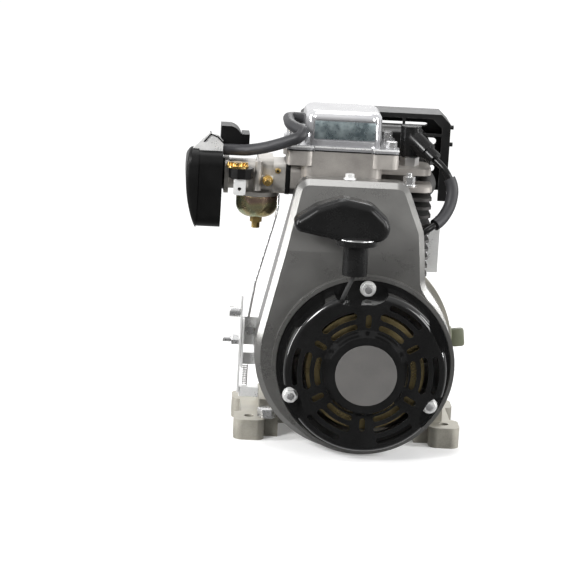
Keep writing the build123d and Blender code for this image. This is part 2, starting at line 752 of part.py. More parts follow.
# Cylinder head with its fins, rocker box and lugs
with BuildPart() as cylinder_head:
    with BuildSketch(level(HEAD_BOTTOM)):
        with Locations((BORE_AXIS_X, BORE_AXIS_Y)):
            RectangleRounded(HEAD_CORE_WIDTH, HEAD_CORE_DEPTH, 14)
    extrude(amount=ROCKER_BOTTOM + CORE_LAP - HEAD_BOTTOM)
    for row in range(HEAD_FINS):
        with BuildSketch(level(HEAD_BOTTOM + row * FIN_PITCH)):
            with Locations((BORE_AXIS_X, BORE_AXIS_Y)):
                RectangleRounded(FIN_WIDTH, FIN_DEPTH, FIN_CORNER)
        extrude(amount=FIN_THICK)
    # Right-hand ledges: the lower one carries a stud nut, the upper one the spark plug
    for bottom, top, ledge_front in LEDGES:
        with BuildSketch(level(bottom)):
            with Locations(((ROCKER_X + HEAD_RIGHT) / 2, (ledge_front + LEDGE_BACK) / 2)):
                RectangleRounded(HEAD_RIGHT - ROCKER_X, LEDGE_BACK - ledge_front, FIN_CORNER)
        extrude(amount=top - bottom)
    # Rear right corner cut back for the exhaust elbow, and its port
    with BuildSketch(side(EXHAUST_FACE)):
        with Locations((EXHAUST_Y + EXHAUST_POCKET / 4, EXHAUST_Z)):
            Rectangle(1.5 * EXHAUST_POCKET, EXHAUST_POCKET)
    extrude(amount=HEAD_RIGHT, mode=Mode.SUBTRACT)
    with BuildSketch(side(BORE_AXIS_X)):
        with Locations((EXHAUST_Y, EXHAUST_Z)):
            Rectangle(EXHAUST_DUCT, EXHAUST_DUCT)
    extrude(amount=EXHAUST_FACE - BORE_AXIS_X)
    with BuildSketch(level(ROCKER_BOTTOM)):
        with Locations((ROCKER_X, BORE_AXIS_Y)):
            RectangleRounded(ROCKER_WIDTH, ROCKER_DEPTH, 12)
    extrude(amount=ROCKER_HEIGHT)
    with BuildSketch(level(rocker_top - LUG_HEIGHT)):
        with Locations((ROCKER_X, BORE_AXIS_Y)):
            with GridLocations(2 * LUG_OUT_X - LUG_WIDTH, 2 * LUG_OUT_Y - LUG_DEPTH, 2, 2):
                RectangleRounded(LUG_WIDTH, LUG_DEPTH, LUG_CORNER)
            Rectangle(ROCKER_WIDTH + 6, ROCKER_DEPTH - 6)
    extrude(amount=LUG_HEIGHT)
    with BuildSketch(side(INSULATOR_X)):
        with Locations((PORT_Y, PORT_Z)):
            RectangleRounded(PORT_WIDTH, PORT_HEIGHT, 8)
    extrude(amount=30)
save(cylinder_head, "cylinder_head")

# Chrome valve cover with its waved flange and sunk front panel
with BuildPart() as valve_cover:
    with BuildSketch(level(rocker_top)):
        with Locations((ROCKER_X, BORE_AXIS_Y)):
            with GridLocations(2 * LUG_OUT_X - LUG_WIDTH, 2 * LUG_OUT_Y - LUG_DEPTH, 2, 2):
                RectangleRounded(LUG_WIDTH, LUG_DEPTH, LUG_CORNER)
            RectangleRounded(ROCKER_WIDTH + 8, ROCKER_DEPTH, LUG_CORNER)
    extrude(amount=SHEET_FLANGE)
    with BuildSketch(level(rocker_top + SHEET_FLANGE)):
        with Locations((ROCKER_X, BORE_AXIS_Y)):
            RectangleRounded(VALVE_COVER_WIDTH, VALVE_COVER_DEPTH, VALVE_COVER_CORNER)
    extrude(amount=VALVE_COVER_HEIGHT, taper=VALVE_COVER_TAPER)
    fillet(valve_cover.faces().sort_by(Axis.Z)[-1].edges(), VALVE_COVER_ROUND)
    panel_z = rocker_top + SHEET_FLANGE + VALVE_COVER_HEIGHT / 2 - 1.5
    with BuildSketch(front(BORE_AXIS_Y - VALVE_COVER_DEPTH / 2 - 1)):
        with Locations((ROCKER_X + 1, panel_z)):
            RectangleRounded(VALVE_COVER_PANEL_X, VALVE_COVER_PANEL_Z, 4)
    extrude(amount=-VALVE_COVER_PANEL_SINK - 1.5, mode=Mode.SUBTRACT)
save(valve_cover, "valve_cover")

with BuildPart() as valve_cover_bolts:
    with BuildSketch(level(rocker_top + SHEET_FLANGE)):
        with Locations((ROCKER_X, BORE_AXIS_Y)):
            with GridLocations(2 * (LUG_OUT_X - BOLT_INSET), 2 * (LUG_OUT_Y - BOLT_INSET), 2, 2):
                RegularPolygon(COVER_SCREW_R, 6)
    extrude(amount=COVER_SCREW_HEIGHT)
save(valve_cover_bolts, "valve_cover_bolts")

nut_base = LEDGES[0][1]
with BuildPart() as head_nut:
    with BuildSketch(level(nut_base)):
        with Locations((NUT_X, NUT_Y)):
            Circle(NUT_R + 1.4)
    extrude(amount=1.6)
    with BuildSketch(level(nut_base + 1.6)):
        with Locations((NUT_X, NUT_Y)):
            RegularPolygon(NUT_R, 6)
    extrude(amount=NUT_HEIGHT)
    with BuildSketch(level(nut_base + 1.6 + NUT_HEIGHT)):
        with Locations((NUT_X, NUT_Y)):
            Circle(NUT_STUD_R)
    extrude(amount=3)
save(head_nut, "head_nut")

# Spark plug, its cap and the ignition lead
plug_seat = LEDGES[1][1]
plug_spot = (PLUG_X, PLUG_Y)
with BuildPart() as spark_plug:
    with BuildSketch(level(plug_seat)):
        with Locations(plug_spot):
            RegularPolygon(9.0, 6)
    extrude(amount=8)
    with BuildSketch(level(plug_seat + 8)):
        with Locations(plug_spot):
            Circle(PLUG_NECK_R)
    extrude(amount=18)
save(spark_plug, "spark_plug")

cap_knee = Vector(PLUG_X, PLUG_Y, plug_seat + 27)
cap_end = cap_knee + Vector(22.0, -17.0, -18.0)
cap_axis = cap_end - cap_knee
with BuildPart() as plug_cap:
    with BuildSketch(level(plug_seat + 9)):
        with Locations(plug_spot):
            Circle(CAP_R)
    extrude(amount=28)
    with BuildSketch(Plane(origin=cap_knee, z_dir=cap_axis)):
        Circle(CAP_R - 0.5)
    extrude(amount=cap_axis.length - 10)
    with BuildSketch(Plane(origin=cap_knee, z_dir=cap_axis)):
        Circle(CAP_R - 2.5)
    extrude(amount=cap_axis.length)
    with BuildSketch(level(plug_seat + 9)):
        with Locations(plug_spot):
            Circle(PLUG_NECK_R)
    extrude(amount=17, mode=Mode.SUBTRACT)
save(plug_cap, "plug_cap")

# Ignition coil beside the flywheel, on the round front flange
coil_top = COIL_Z + COIL_HEIGHT / 2
with BuildPart() as ignition_coil:
    with BuildSketch(front(CASE_FRONT - FRONT_FLANGE_THICK)):
        with Locations((COIL_X, COIL_Z)):
            Rectangle(COIL_WIDTH, COIL_HEIGHT)
    extrude(amount=COIL_DEPTH)
save(ignition_coil, "ignition_coil")

# Ignition lead from the cap, round the right side and in behind the shroud to the coil
fin_side = BORE_AXIS_X + FIN_WIDTH / 2
lead_points = [tuple(cap_end), tuple(cap_end + cap_axis * 0.42)]
lead_points += [(fin_side + out, y, z) for out, y, z in LEAD_OUT]
lead_points += [(50.0, -41.7, 193.0), (COIL_X, -53.0, coil_top + LEAD_RISE), (COIL_X, -53.0, coil_top)]
lead_radii = route(lead_points)
with BuildPart() as ignition_lead:
    with BuildLine() as lead_line:
        FilletPolyline(*lead_points, radius=lead_radii)
    with BuildSketch(Plane(origin=lead_line.line @ 0, z_dir=lead_line.line % 0)):
        Circle(LEAD_R)
    sweep()
save(ignition_lead, "ignition_lead")

sleeve_start = (Vector(*lead_points[1]) + Vector(*lead_points[2])) / 2
sleeve_end = (Vector(*lead_points[4]) + Vector(*lead_points[5])) / 2
with BuildPart() as lead_sleeve:
    with BuildLine() as sleeve_line:
        FilletPolyline(sleeve_start, *lead_points[2:5], sleeve_end, radius=lead_radii[1:4])
    with BuildSketch(Plane(origin=sleeve_line.line @ 0, z_dir=sleeve_line.line % 0)):
        Circle(SLEEVE_R)
        Circle(LEAD_R + SEAT_GAP, mode=Mode.SUBTRACT)
    sweep()
save(lead_sleeve, "lead_sleeve")

# Intake insulator and carburettor
with BuildPart() as intake_insulator:
    with BuildSketch(side(INSULATOR_X)):
        with Locations((PORT_Y, PORT_Z)):
            RectangleRounded(PORT_WIDTH, PORT_HEIGHT, 6)
    extrude(amount=-INSULATOR_THICK)
save(intake_insulator, "intake_insulator")

throttle_right = INSULATOR_X - INSULATOR_THICK
barrel_right = throttle_right - FLANGE_THICK
throttle_left = barrel_right - THROTTLE_LENGTH
bowl_bottom = BOWL_TOP - BOWL_DEPTH
with BuildPart() as carburettor_body:
    with BuildSketch(side(throttle_right)):
        with Locations((PORT_Y, PORT_Z)):
            RectangleRounded(THROTTLE_DEPTH, THROTTLE_HEIGHT, 3)
    extrude(amount=-FLANGE_THICK)
    with BuildSketch(side(barrel_right)):
        with Locations((PORT_Y, PORT_Z + BARREL_RISE)):
            RectangleRounded(BARREL_DEPTH, BARREL_HEIGHT, 6)
    extrude(amount=-THROTTLE_LENGTH)
    with BuildSketch(side(throttle_left)):
        with Locations((PORT_Y, PORT_Z)):
            Circle(THROAT_R)
    extrude(amount=CARB_LEFT - throttle_left)
    with BuildSketch(level(BOWL_TOP)):
        with Locations((BOWL_X, BOWL_Y)):
            Circle(BOWL_R + 0.8)
    extrude(amount=BOWL_COLLAR)
    with BuildSketch(level(BOWL_TOP)):
        with Locations((BOWL_X, PORT_Y)):
            Rectangle(2 * THROAT_R, 2 * THROAT_R)
    extrude(amount=PORT_Z - BOWL_TOP)
    with BuildSketch(side(CARB_LEFT)):
        with Locations((PORT_Y, PORT_Z)):
            RectangleRounded(AIR_FLANGE_DEPTH, AIR_FLANGE_HEIGHT, 8)
    extrude(amount=AIR_FLANGE_THICK)
    # Upright tube in front of the barrel, with its web
    with BuildSketch(level(TUBE_BOTTOM)):
        with Locations((TUBE_X, TUBE_Y)):
            Circle(TUBE_R)
        with Locations((TUBE_X, (TUBE_Y + PORT_Y) / 2)):
            Rectangle(3, PORT_Y - TUBE_Y)
    extrude(amount=TUBE_TOP - TUBE_BOTTOM)
    with BuildSketch(level(TUBE_TOP)):
        with Locations((TUBE_X, TUBE_Y)):
            Circle(TUBE_R - 1.4)
    extrude(amount=-6, mode=Mode.SUBTRACT)
    # Arm under the choke housing, down to the throat
    with BuildSketch(level(CHOKE_BASE)):
        with Locations((CHOKE_X, (CHOKE_Y + PORT_Y) / 2)):
            Rectangle(CHOKE_ARM, PORT_Y - CHOKE_Y + CHOKE_R)
    extrude(amount=PORT_Z - CHOKE_BASE - THROAT_R / 2)
save(carburettor_body, "carburettor_body")

with BuildPart() as carburettor_bowl:
    with BuildSketch(level(BOWL_TOP)):
        with Locations((BOWL_X, BOWL_Y)):
            Circle(BOWL_R)
    extrude(amount=-BOWL_DEPTH)
    fillet(carburettor_bowl.faces().sort_by(Axis.Z)[0].edges(), BOWL_ROUND)
save(carburettor_bowl, "carburettor_bowl")

with BuildPart() as bowl_drain:
    with BuildSketch(level(bowl_bottom)):
        with Locations((BOWL_X, BOWL_Y)):
            RegularPolygon(5.6, 6)
    extrude(amount=-5.5)
    with BuildSketch(level(bowl_bottom - 5.5)):
        with Locations((BOWL_X, BOWL_Y)):
            Circle(3.8)
    extrude(amount=-5.5)
save(bowl_drain, "bowl_drain")

with BuildPart() as choke_ring:
    with BuildSketch(level(CHOKE_BASE)):
        with Locations((CHOKE_X, CHOKE_Y)):
            RegularPolygon(CHOKE_R, 10)
    extrude(amount=CHOKE_HEIGHT)
save(choke_ring, "choke_ring")

lid_base = CHOKE_BASE + CHOKE_HEIGHT
with BuildPart() as choke_cap:
    with BuildSketch(level(lid_base)):
        with Locations((CHOKE_LID_X, CHOKE_Y)):
            Circle(CHOKE_LID_R)
    extrude(amount=CHOKE_LID_THICK)
    with BuildSketch(level(lid_base + CHOKE_LID_THICK)):
        with Locations((CHOKE_LID_X, CHOKE_Y)):
            Circle(CHOKE_STEP_R)
            with GridLocations(2 * CHOKE_LID_R - 6, 1, 2, 1):
                Circle(2.2)
    extrude(amount=2.4)
save(choke_cap, "choke_cap")

# Bare bracket hanging under the front of the choke housing
brace_front = (CHOKE_Y + PORT_Y) / 2 - (PORT_Y - CHOKE_Y + CHOKE_R) / 2
with BuildPart() as choke_bracket:
    with BuildSketch(front(brace_front)):
        with Locations((CHOKE_X - 1, CHOKE_BASE - BRACE_HEIGHT / 2)):
            RectangleRounded(BRACE_WIDTH, BRACE_HEIGHT, 2)
        with Locations((CHOKE_X - 1, CHOKE_BASE - 0.62 * BRACE_HEIGHT)):
            Circle(BRACE_HOLE_R, mode=Mode.SUBTRACT)
    extrude(amount=BRACE_THICK)
save(choke_bracket, "choke_bracket")

inlet_face = PORT_Y - BARREL_DEPTH / 2
with BuildPart() as fuel_inlet:
    with BuildSketch(front(inlet_face)):
        with Locations((INLET_X, INLET_Z)):
            Circle(3.0)
    extrude(amount=INLET_LENGTH)
    with BuildSketch(front(inlet_face)):
        with Locations((INLET_X, INLET_Z)):
            Circle(4.8)
    extrude(amount=6)
save(fuel_inlet, "fuel_inlet")


def air_outline(inset):
    # Outline of the air cleaner seen from the carburettor, with a top that falls to the back.
    FilletPolyline((AIR_FRONT + inset, AIR_BOTTOM + inset), (AIR_BACK - inset, AIR_BOTTOM + inset),
                   (AIR_BACK - inset, AIR_TOP_BACK - inset), (AIR_FRONT + inset, AIR_TOP - inset),
                   radius=AIR_CORNER - inset, close=True)


# Air cleaner: base on the carburettor, cover, and intake snorkel on the base
with BuildPart() as air_cleaner_base:
    with BuildSketch(side(AIR_RIGHT)):
        with BuildLine():
            air_outline(COVER_OVERLAP)
        make_face()
    extrude(amount=AIR_SPLIT - AIR_RIGHT)
    with BuildSketch(side(AIR_RIGHT)):
        with Locations((PORT_Y, PORT_Z)):
            Circle(THROAT_R + 1)
    extrude(amount=CARB_LEFT - AIR_RIGHT)
    with BuildSketch(side(AIR_RIGHT - SPIGOT_LENGTH)):
        with Locations((HOSE_Y, HOSE_END_Z)):
            Circle(SPIGOT_R)
    extrude(amount=SPIGOT_LENGTH)
save(air_cleaner_base, "air_cleaner_base")

with BuildPart() as air_cleaner_cover:
    with BuildSketch(side(AIR_SPLIT)):
        with BuildLine():
            air_outline(0)
        make_face()
    extrude(amount=AIR_LEFT - AIR_SPLIT)
    # Its left face bulges, and leans in to the foot
    with BuildSketch(front(AIR_FRONT - 1)):
        with BuildLine():
            ThreePointArc((AIR_LEFT + COVER_TOP_LEAN, AIR_TOP + 1), (AIR_LEFT, (AIR_TOP + AIR_BOTTOM) / 2 + 10),
                          (AIR_LEFT + COVER_FOOT_LEAN, AIR_BOTTOM - 1))
            Polyline((AIR_LEFT + COVER_FOOT_LEAN, AIR_BOTTOM - 1), (AIR_SPLIT + 1, AIR_BOTTOM - 1),
                     (AIR_SPLIT + 1, AIR_TOP + 1), (AIR_LEFT + COVER_TOP_LEAN, AIR_TOP + 1))
        make_face()
    extrude(amount=AIR_FRONT - AIR_BACK - 2, mode=Mode.INTERSECT)
    fillet([e for f in air_cleaner_cover.faces().filter_by(GeomType.CYLINDER).sort_by(Axis.X)[:1]
            for e in f.edges()], COVER_ROUND)
save(air_cleaner_cover, "air_cleaner_cover")

with BuildPart() as air_cleaner_plate:
    with BuildSketch(front(PLATE_FRONT)):
        with BuildLine():
            Polyline(*[(AIR_RIGHT + x, AIR_TOP + z) for x, z in PLATE_OUTLINE], close=True)
        make_face()
    extrude(amount=PLATE_FRONT - PLATE_BACK)
    add(air_cleaner_base.part, mode=Mode.SUBTRACT)
    add(air_cleaner_cover.part, mode=Mode.SUBTRACT)
save(air_cleaner_plate, "air_cleaner_plate")

snorkel_seat = AIR_TOP - (AIR_TOP - AIR_TOP_BACK) * (SNORKEL_FRONT - AIR_FRONT) / (AIR_BACK - AIR_FRONT)
with BuildPart() as intake_snorkel:
    with BuildSketch(front(SNORKEL_FRONT)):
        with BuildLine():
            near = [(AIR_RIGHT + x, snorkel_seat + z) for x, z in SNORKEL_NEAR]
            bend = [(AIR_RIGHT + x, snorkel_seat + z) for x, z in SNORKEL_BEND]
            far = [(AIR_RIGHT + x, snorkel_seat + z) for x, z in SNORKEL_FAR]
            Polyline(far[-1], *near, bend[0])
            ThreePointArc(*bend)
            Polyline(bend[-1], *far)
        make_face()
    extrude(amount=SNORKEL_FRONT - SNORKEL_BACK)
    add(air_cleaner_base.part, mode=Mode.SUBTRACT)
save(intake_snorkel, "intake_snorkel")

hose_wall = ROCKER_X - VALVE_COVER_WIDTH / 2 + 0.6
hose_points = [(hose_wall, 13.0, 290.0), (-67.0, 12.5, 290.5), (-66.5, -23.0, 288.5), (-49.5, -51.0, 286.0),
               (-78.0, -43.0, 273.5), (-92.0, -32.0, 267.5), (-105.0, -21.0, HOSE_END_Z + 0.5),
               (-115.0, HOSE_Y, HOSE_END_Z), (AIR_RIGHT, HOSE_Y, HOSE_END_Z)]

with BuildPart() as breather_hose:
    with BuildLine() as hose_line:
        FilletPolyline(*hose_points, radius=route(hose_points))
    with BuildSketch(Plane(origin=hose_line.line @ 0, z_dir=hose_line.line % 0)):
        Circle(HOSE_R)
    sweep()
save(breather_hose, "breather_hose")

# Muffler, its guard and the exhaust elbow
muffler_top = GUARD_TOP - MUFFLER_DROP
muffler_mid_z = muffler_top - MUFFLER_HEIGHT / 2
tail_spot = (TAIL_X, muffler_mid_z - 3)
guard_mid_x = (GUARD_LEFT + GUARD_RIGHT) / 2
guard_mid_y = (GUARD_FRONT + GUARD_BACK) / 2
first_row = GUARD_BOTTOM + 8
with BuildPart() as muffler:
    with BuildSketch(front(MUFFLER_FRONT)):
        with Locations(((MUFFLER_LEFT + MUFFLER_RIGHT) / 2, muffler_mid_z)):
            RectangleRounded(MUFFLER_RIGHT - MUFFLER_LEFT, MUFFLER_HEIGHT, MUFFLER_CORNER)
    extrude(amount=MUFFLER_FRONT - MUFFLER_BACK)
    fillet(muffler.faces().sort_by(Axis.Y)[0].edges(), 3)
    with BuildSketch(front(MUFFLER_BACK)):
        with Locations(tail_spot):
            Circle(TAIL_R)
            Circle(TAIL_R - TAIL_WALL, mode=Mode.SUBTRACT)
    extrude(amount=-TAIL_LENGTH)
    # Bosses that carry the guard, on the bars between its slots
    with BuildSketch(front(MUFFLER_BACK)):
        for boss_x in GUARD_BOSS_X:
            for boss_z in GUARD_BOSS_Z:
                with Locations((boss_x, muffler_mid_z + boss_z)):
                    Circle(GUARD_BOSS_R)
    extrude(amount=-(GUARD_BACK - GUARD_SHEET - MUFFLER_BACK))
save(muffler, "muffler")


def guard_outline(inset, top):
    # Front outline of the guard with its two cut corners.
    left = GUARD_LEFT + inset
    right = GUARD_RIGHT - inset
    Polyline((left, GUARD_BOTTOM), (left, top - GUARD_CUT), (left + GUARD_CUT, top), (right - GUARD_CUT, top),
             (right, top - GUARD_CUT), (right, GUARD_BOTTOM), (left, GUARD_BOTTOM))


def guard_form(inset):
    # Box of the guard with its back edge sloped off, or its inside when inset is over zero.
    slope = Vector(GUARD_BACK - GUARD_SLOPE_Y, -GUARD_SLOPE_DROP).normalized()
    inward = Vector(slope.Y, -slope.X) * inset
    high = Vector(GUARD_SLOPE_Y, GUARD_TOP) + inward - slope * 20
    low = Vector(GUARD_BACK, GUARD_TOP - GUARD_SLOPE_DROP) + inward + slope * 20
    with BuildPart() as form:
        with BuildSketch(front(GUARD_FRONT)):
            with BuildLine():
                guard_outline(inset, GUARD_TOP - inset)
            make_face()
        extrude(amount=-(GUARD_BACK - inset - GUARD_FRONT))
        with BuildSketch(side(GUARD_LEFT - 1)):
            with BuildLine():
                Polyline((high.X, high.Y), (low.X, low.Y), (low.X + 30, high.Y + 30), (high.X, high.Y))
            make_face()
        extrude(amount=GUARD_RIGHT - GUARD_LEFT + 2, mode=Mode.SUBTRACT)
    return form.part


guard_outer = guard_form(0.0)
guard_inner = guard_form(GUARD_SHEET)
rows = [first_row + row * GUARD_PITCH for row in range(GUARD_ROWS)]
with BuildPart() as muffler_guard:
    add(guard_outer)
    add(guard_inner, mode=Mode.SUBTRACT)
    # Front frame: top rail, posts, and two wires
    with BuildSketch(front(GUARD_FRONT)):
        with BuildLine():
            guard_outline(0, GUARD_TOP)
        make_face()
        with BuildLine():
            guard_outline(GUARD_POST, GUARD_TOP - GUARD_RAIL)
        make_face(mode=Mode.SUBTRACT)
        with Locations((guard_mid_x, GUARD_TOP - GUARD_WIRE_DROP)):
            Rectangle(GUARD_RIGHT - GUARD_LEFT - GUARD_POST, GUARD_WIRE)
        with Locations((GUARD_WIRE_X, GUARD_TOP - GUARD_WIRE_DROP / 2)):
            Rectangle(GUARD_WIRE, GUARD_WIRE_DROP - 1)
    extrude(amount=-GUARD_SHEET)
    # Slots in the back wall, the side walls and the slope
    with BuildSketch(front(GUARD_BACK + 1)):
        for row in rows:
            with Locations((guard_mid_x, row)):
                SlotOverall(GUARD_RIGHT - GUARD_LEFT - 14, GUARD_SLOT)
    extrude(amount=GUARD_SHEET + 2, mode=Mode.SUBTRACT)
    with BuildSketch(side(GUARD_LEFT - 1)):
        for row in rows:
            with Locations((guard_mid_y, row)):
                SlotOverall(GUARD_BACK - GUARD_FRONT - 18, GUARD_SLOT)
    extrude(amount=GUARD_RIGHT - GUARD_LEFT + 2, mode=Mode.SUBTRACT)
    slope_mid = Vector(guard_mid_x, (GUARD_SLOPE_Y + GUARD_BACK) / 2, GUARD_TOP - GUARD_SLOPE_DROP / 2)
    slope_out = Vector(0, GUARD_SLOPE_DROP, GUARD_BACK - GUARD_SLOPE_Y)
    with BuildSketch(Plane(origin=slope_mid, x_dir=(1, 0, 0), z_dir=slope_out)):
        with GridLocations(1, GUARD_PITCH, 1, 2):
            SlotOverall(GUARD_RIGHT - GUARD_LEFT - 34, GUARD_SLOT)
    extrude(amount=-2 * GUARD_SHEET, mode=Mode.SUBTRACT)
    with BuildSketch(front(GUARD_BACK + 1)):
        with Locations(tail_spot):
            Circle(TAIL_R + 2)
    extrude(amount=GUARD_SHEET + 2, mode=Mode.SUBTRACT)
    # Two nubs on the right wall
    with BuildSketch(side(GUARD_RIGHT)):
        for nub_drop in (12.0, 28.0):
            with Locations((GUARD_FRONT + 4, GUARD_TOP - nub_drop)):
                Circle(GUARD_NUB_R)
    extrude(amount=GUARD_NUB)
save(muffler_guard, "muffler_guard")

elbow_points = [(EXHAUST_FACE, EXHAUST_Y, EXHAUST_Z), (EXHAUST_FACE + ELBOW_OUT, EXHAUST_Y, EXHAUST_Z),
                (ELBOW_END_X, MUFFLER_FRONT + 2, EXHAUST_Z + ELBOW_RISE)]
with BuildPart() as exhaust_elbow:
    with BuildLine() as elbow_line:
        FilletPolyline(*elbow_points, radius=ELBOW_BEND)
    with BuildSketch(Plane(origin=elbow_line.line @ 0, z_dir=elbow_line.line % 0)):
        Circle(ELBOW_R)
    sweep()
    split(bisect_by=front(MUFFLER_FRONT), keep=Keep.TOP)
save(exhaust_elbow, "exhaust_elbow")

# Tin air deflector on the right of the cylinder fins
fin_right = BORE_AXIS_X + FIN_WIDTH / 2
with BuildPart() as air_deflector:
    with BuildSketch(level(fin_bottom)):
        with BuildLine():
            outer = fin_right + DEFLECTOR_OUT
            inner = fin_right + SEAT_GAP
            Polyline((inner, DEFLECTOR_FRONT), (outer, DEFLECTOR_FRONT), (outer, DEFLECTOR_BACK),
                     (outer - DEFLECTOR_THICK, DEFLECTOR_BACK),
                     (outer - DEFLECTOR_THICK, DEFLECTOR_FRONT + DEFLECTOR_THICK),
                     (inner, DEFLECTOR_FRONT + DEFLECTOR_THICK), (inner, DEFLECTOR_FRONT))
        make_face()
    extrude(amount=DEFLECTOR_HEIGHT)
save(air_deflector, "air_deflector")

# Oil filler plug on the right of the crankcase, and the drain plug over the left foot
with BuildPart() as oil_filler_plug:
    with BuildSketch(side(CASE_RIGHT)):
        with Locations((FILLER_Y, FILLER_Z)):
            Circle(FILLER_R)
    extrude(amount=FILLER_NECK)
    with BuildSketch(side(CASE_RIGHT + FILLER_NECK)):
        with Locations((FILLER_Y, FILLER_Z)):
            Rectangle(7, 2 * FILLER_R)
    extrude(amount=FILLER_GRIP)
save(oil_filler_plug, "oil_filler_plug")

with BuildPart() as drain_plug:
    with BuildSketch(level(FOOT_HEIGHT)):
        with Locations((DRAIN_X, DRAIN_Y)):
            RegularPolygon(DRAIN_R, 6)
    extrude(amount=DRAIN_R)
save(drain_plug, "drain_plug")

# Speed controls on the left: bracket, throttle arm, cable clamp, pivot, rod, spring and link
with BuildPart() as control_bracket:
    with BuildSketch(front(BRACKET_Y)):
        for tab_z, tab_height in BRACKET_TABS:
            with Locations(((BRACKET_X + CASE_LEFT) / 2, tab_z)):
                Rectangle(CASE_LEFT - BRACKET_X, tab_height)
    extrude(amount=BRACKET_THICK)
    with BuildSketch(side(BRACKET_X)):
        with Locations((BRACKET_Y - BRACKET_PLATE_DEPTH / 2, BRACKET_PLATE_Z)):
            Rectangle(BRACKET_PLATE_DEPTH, BRACKET_PLATE_HEIGHT)
    extrude(amount=BRACKET_THICK)
save(control_bracket, "control_bracket")

with BuildPart() as control_screw:
    with BuildSketch(front(BRACKET_Y - BRACKET_THICK)):
        with Locations((SCREW_X, SCREW_Z)):
            Circle(SCREW_R)
    extrude(amount=SCREW_HEAD)
save(control_screw, "control_screw")

arm_face = BRACKET_X - SEAT_GAP - ARM_THICK
with BuildPart() as throttle_arm:
    with BuildSketch(side(arm_face)):
        with BuildLine():
            Polyline(*[(BRACKET_Y + y, z) for y, z in ARM_OUTLINE], close=True)
        make_face()
    extrude(amount=ARM_THICK)
save(throttle_arm, "throttle_arm")

with BuildPart() as arm_pivot:
    with BuildSketch(side(arm_face)):
        with Locations((BRACKET_Y - BRACKET_PLATE_DEPTH / 2, PIVOT_Z)):
            RegularPolygon(PIVOT_R, 6)
    extrude(amount=-PIVOT_NUT)
    with BuildSketch(side(arm_face - PIVOT_NUT)):
        with Locations((BRACKET_Y - BRACKET_PLATE_DEPTH / 2, PIVOT_Z)):
            Circle(PIVOT_STUD_R)
    extrude(amount=-PIVOT_STUD)
save(arm_pivot, "arm_pivot")

with BuildPart() as cable_clamp:
    with BuildSketch(side(arm_face)):
        with Locations((BRACKET_Y - BRACKET_PLATE_DEPTH / 2 - 1, CLAMP_Z)):
            Circle(CLAMP_R)
    extrude(amount=-CLAMP_LENGTH)
save(cable_clamp, "cable_clamp")

with BuildPart() as governor_rod:
    with BuildLine() as rod_line:
        Polyline((-74.0, -30.0, PORT_Z - THROTTLE_HEIGHT / 2), (-74.0, -30.0, 214.0), (-76.0, -38.0, 206.0),
                 (-91.0, -42.0, 147.0),
                 (-95.5, BRACKET_Y - 3.5, 112.3))
    with BuildSketch(Plane(origin=rod_line.line @ 0, z_dir=rod_line.line % 0)):
        Circle(ROD_R)
    sweep(transition=Transition.ROUND)
save(governor_rod, "governor_rod")

with BuildPart() as governor_spring:
    with BuildSketch(level(SPRING_BOTTOM)):
        with Locations((SPRING_X, BRACKET_Y - BRACKET_THICK - 0.8)):
            Circle(SPRING_R)
    extrude(amount=SPRING_LENGTH)
save(governor_spring, "governor_spring")

with BuildPart() as spring_link:
    with BuildSketch(front(BRACKET_Y - BRACKET_THICK)):
        with Locations((LINK_X, LINK_Z)):
            Rectangle(LINK_WIDTH, LINK_HEIGHT)
    extrude(amount=LINK_DEPTH)
save(spring_link, "spring_link")

# Flange bolt standing on the crest of the shroud
with BuildPart() as shroud_bolt:
    with BuildSketch(level(SHROUD_CREST_Z)):
        with Locations((CREST_BOLT_X, CREST_BOLT_Y)):
            Circle(CREST_BOLT_R + CREST_BOLT_FLANGE)
    extrude(amount=CREST_BOLT_FLANGE)
    with BuildSketch(level(SHROUD_CREST_Z + CREST_BOLT_FLANGE)):
        with Locations((CREST_BOLT_X, CREST_BOLT_Y)):
            RegularPolygon(CREST_BOLT_R, 6)
    extrude(amount=CREST_BOLT_HEAD)
save(shroud_bolt, "shroud_bolt")
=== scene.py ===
import bpy
import json
import math
from mathutils import Matrix, Vector


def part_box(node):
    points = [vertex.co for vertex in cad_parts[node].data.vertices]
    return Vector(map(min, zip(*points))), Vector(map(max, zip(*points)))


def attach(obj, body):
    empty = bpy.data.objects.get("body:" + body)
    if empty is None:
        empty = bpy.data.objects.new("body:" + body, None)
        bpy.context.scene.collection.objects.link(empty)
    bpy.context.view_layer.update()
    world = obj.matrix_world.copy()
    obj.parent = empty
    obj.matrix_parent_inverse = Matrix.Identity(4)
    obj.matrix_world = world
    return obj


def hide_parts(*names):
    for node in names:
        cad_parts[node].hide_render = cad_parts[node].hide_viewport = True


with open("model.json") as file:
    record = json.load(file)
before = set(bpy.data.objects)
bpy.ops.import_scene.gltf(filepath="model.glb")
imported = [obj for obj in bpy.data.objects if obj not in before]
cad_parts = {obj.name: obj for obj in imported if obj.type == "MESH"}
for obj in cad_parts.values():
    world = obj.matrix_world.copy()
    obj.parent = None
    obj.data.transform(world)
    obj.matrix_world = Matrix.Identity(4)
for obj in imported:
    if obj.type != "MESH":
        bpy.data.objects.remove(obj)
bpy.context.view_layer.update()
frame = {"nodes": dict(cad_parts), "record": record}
print("frame loaded", len(frame["nodes"]), "nodes")

# Camera, fitted to the view of the object: place and reach in metres, angles in degrees, lens in mm
cameraSet = {"place": (-0.201, -2.655, 0.710), "turn": 3.0, "tilt": 12.2, "roll": 3.3,
             "lens": 185.5, "sensor": 36.0, "reach": 60.0}


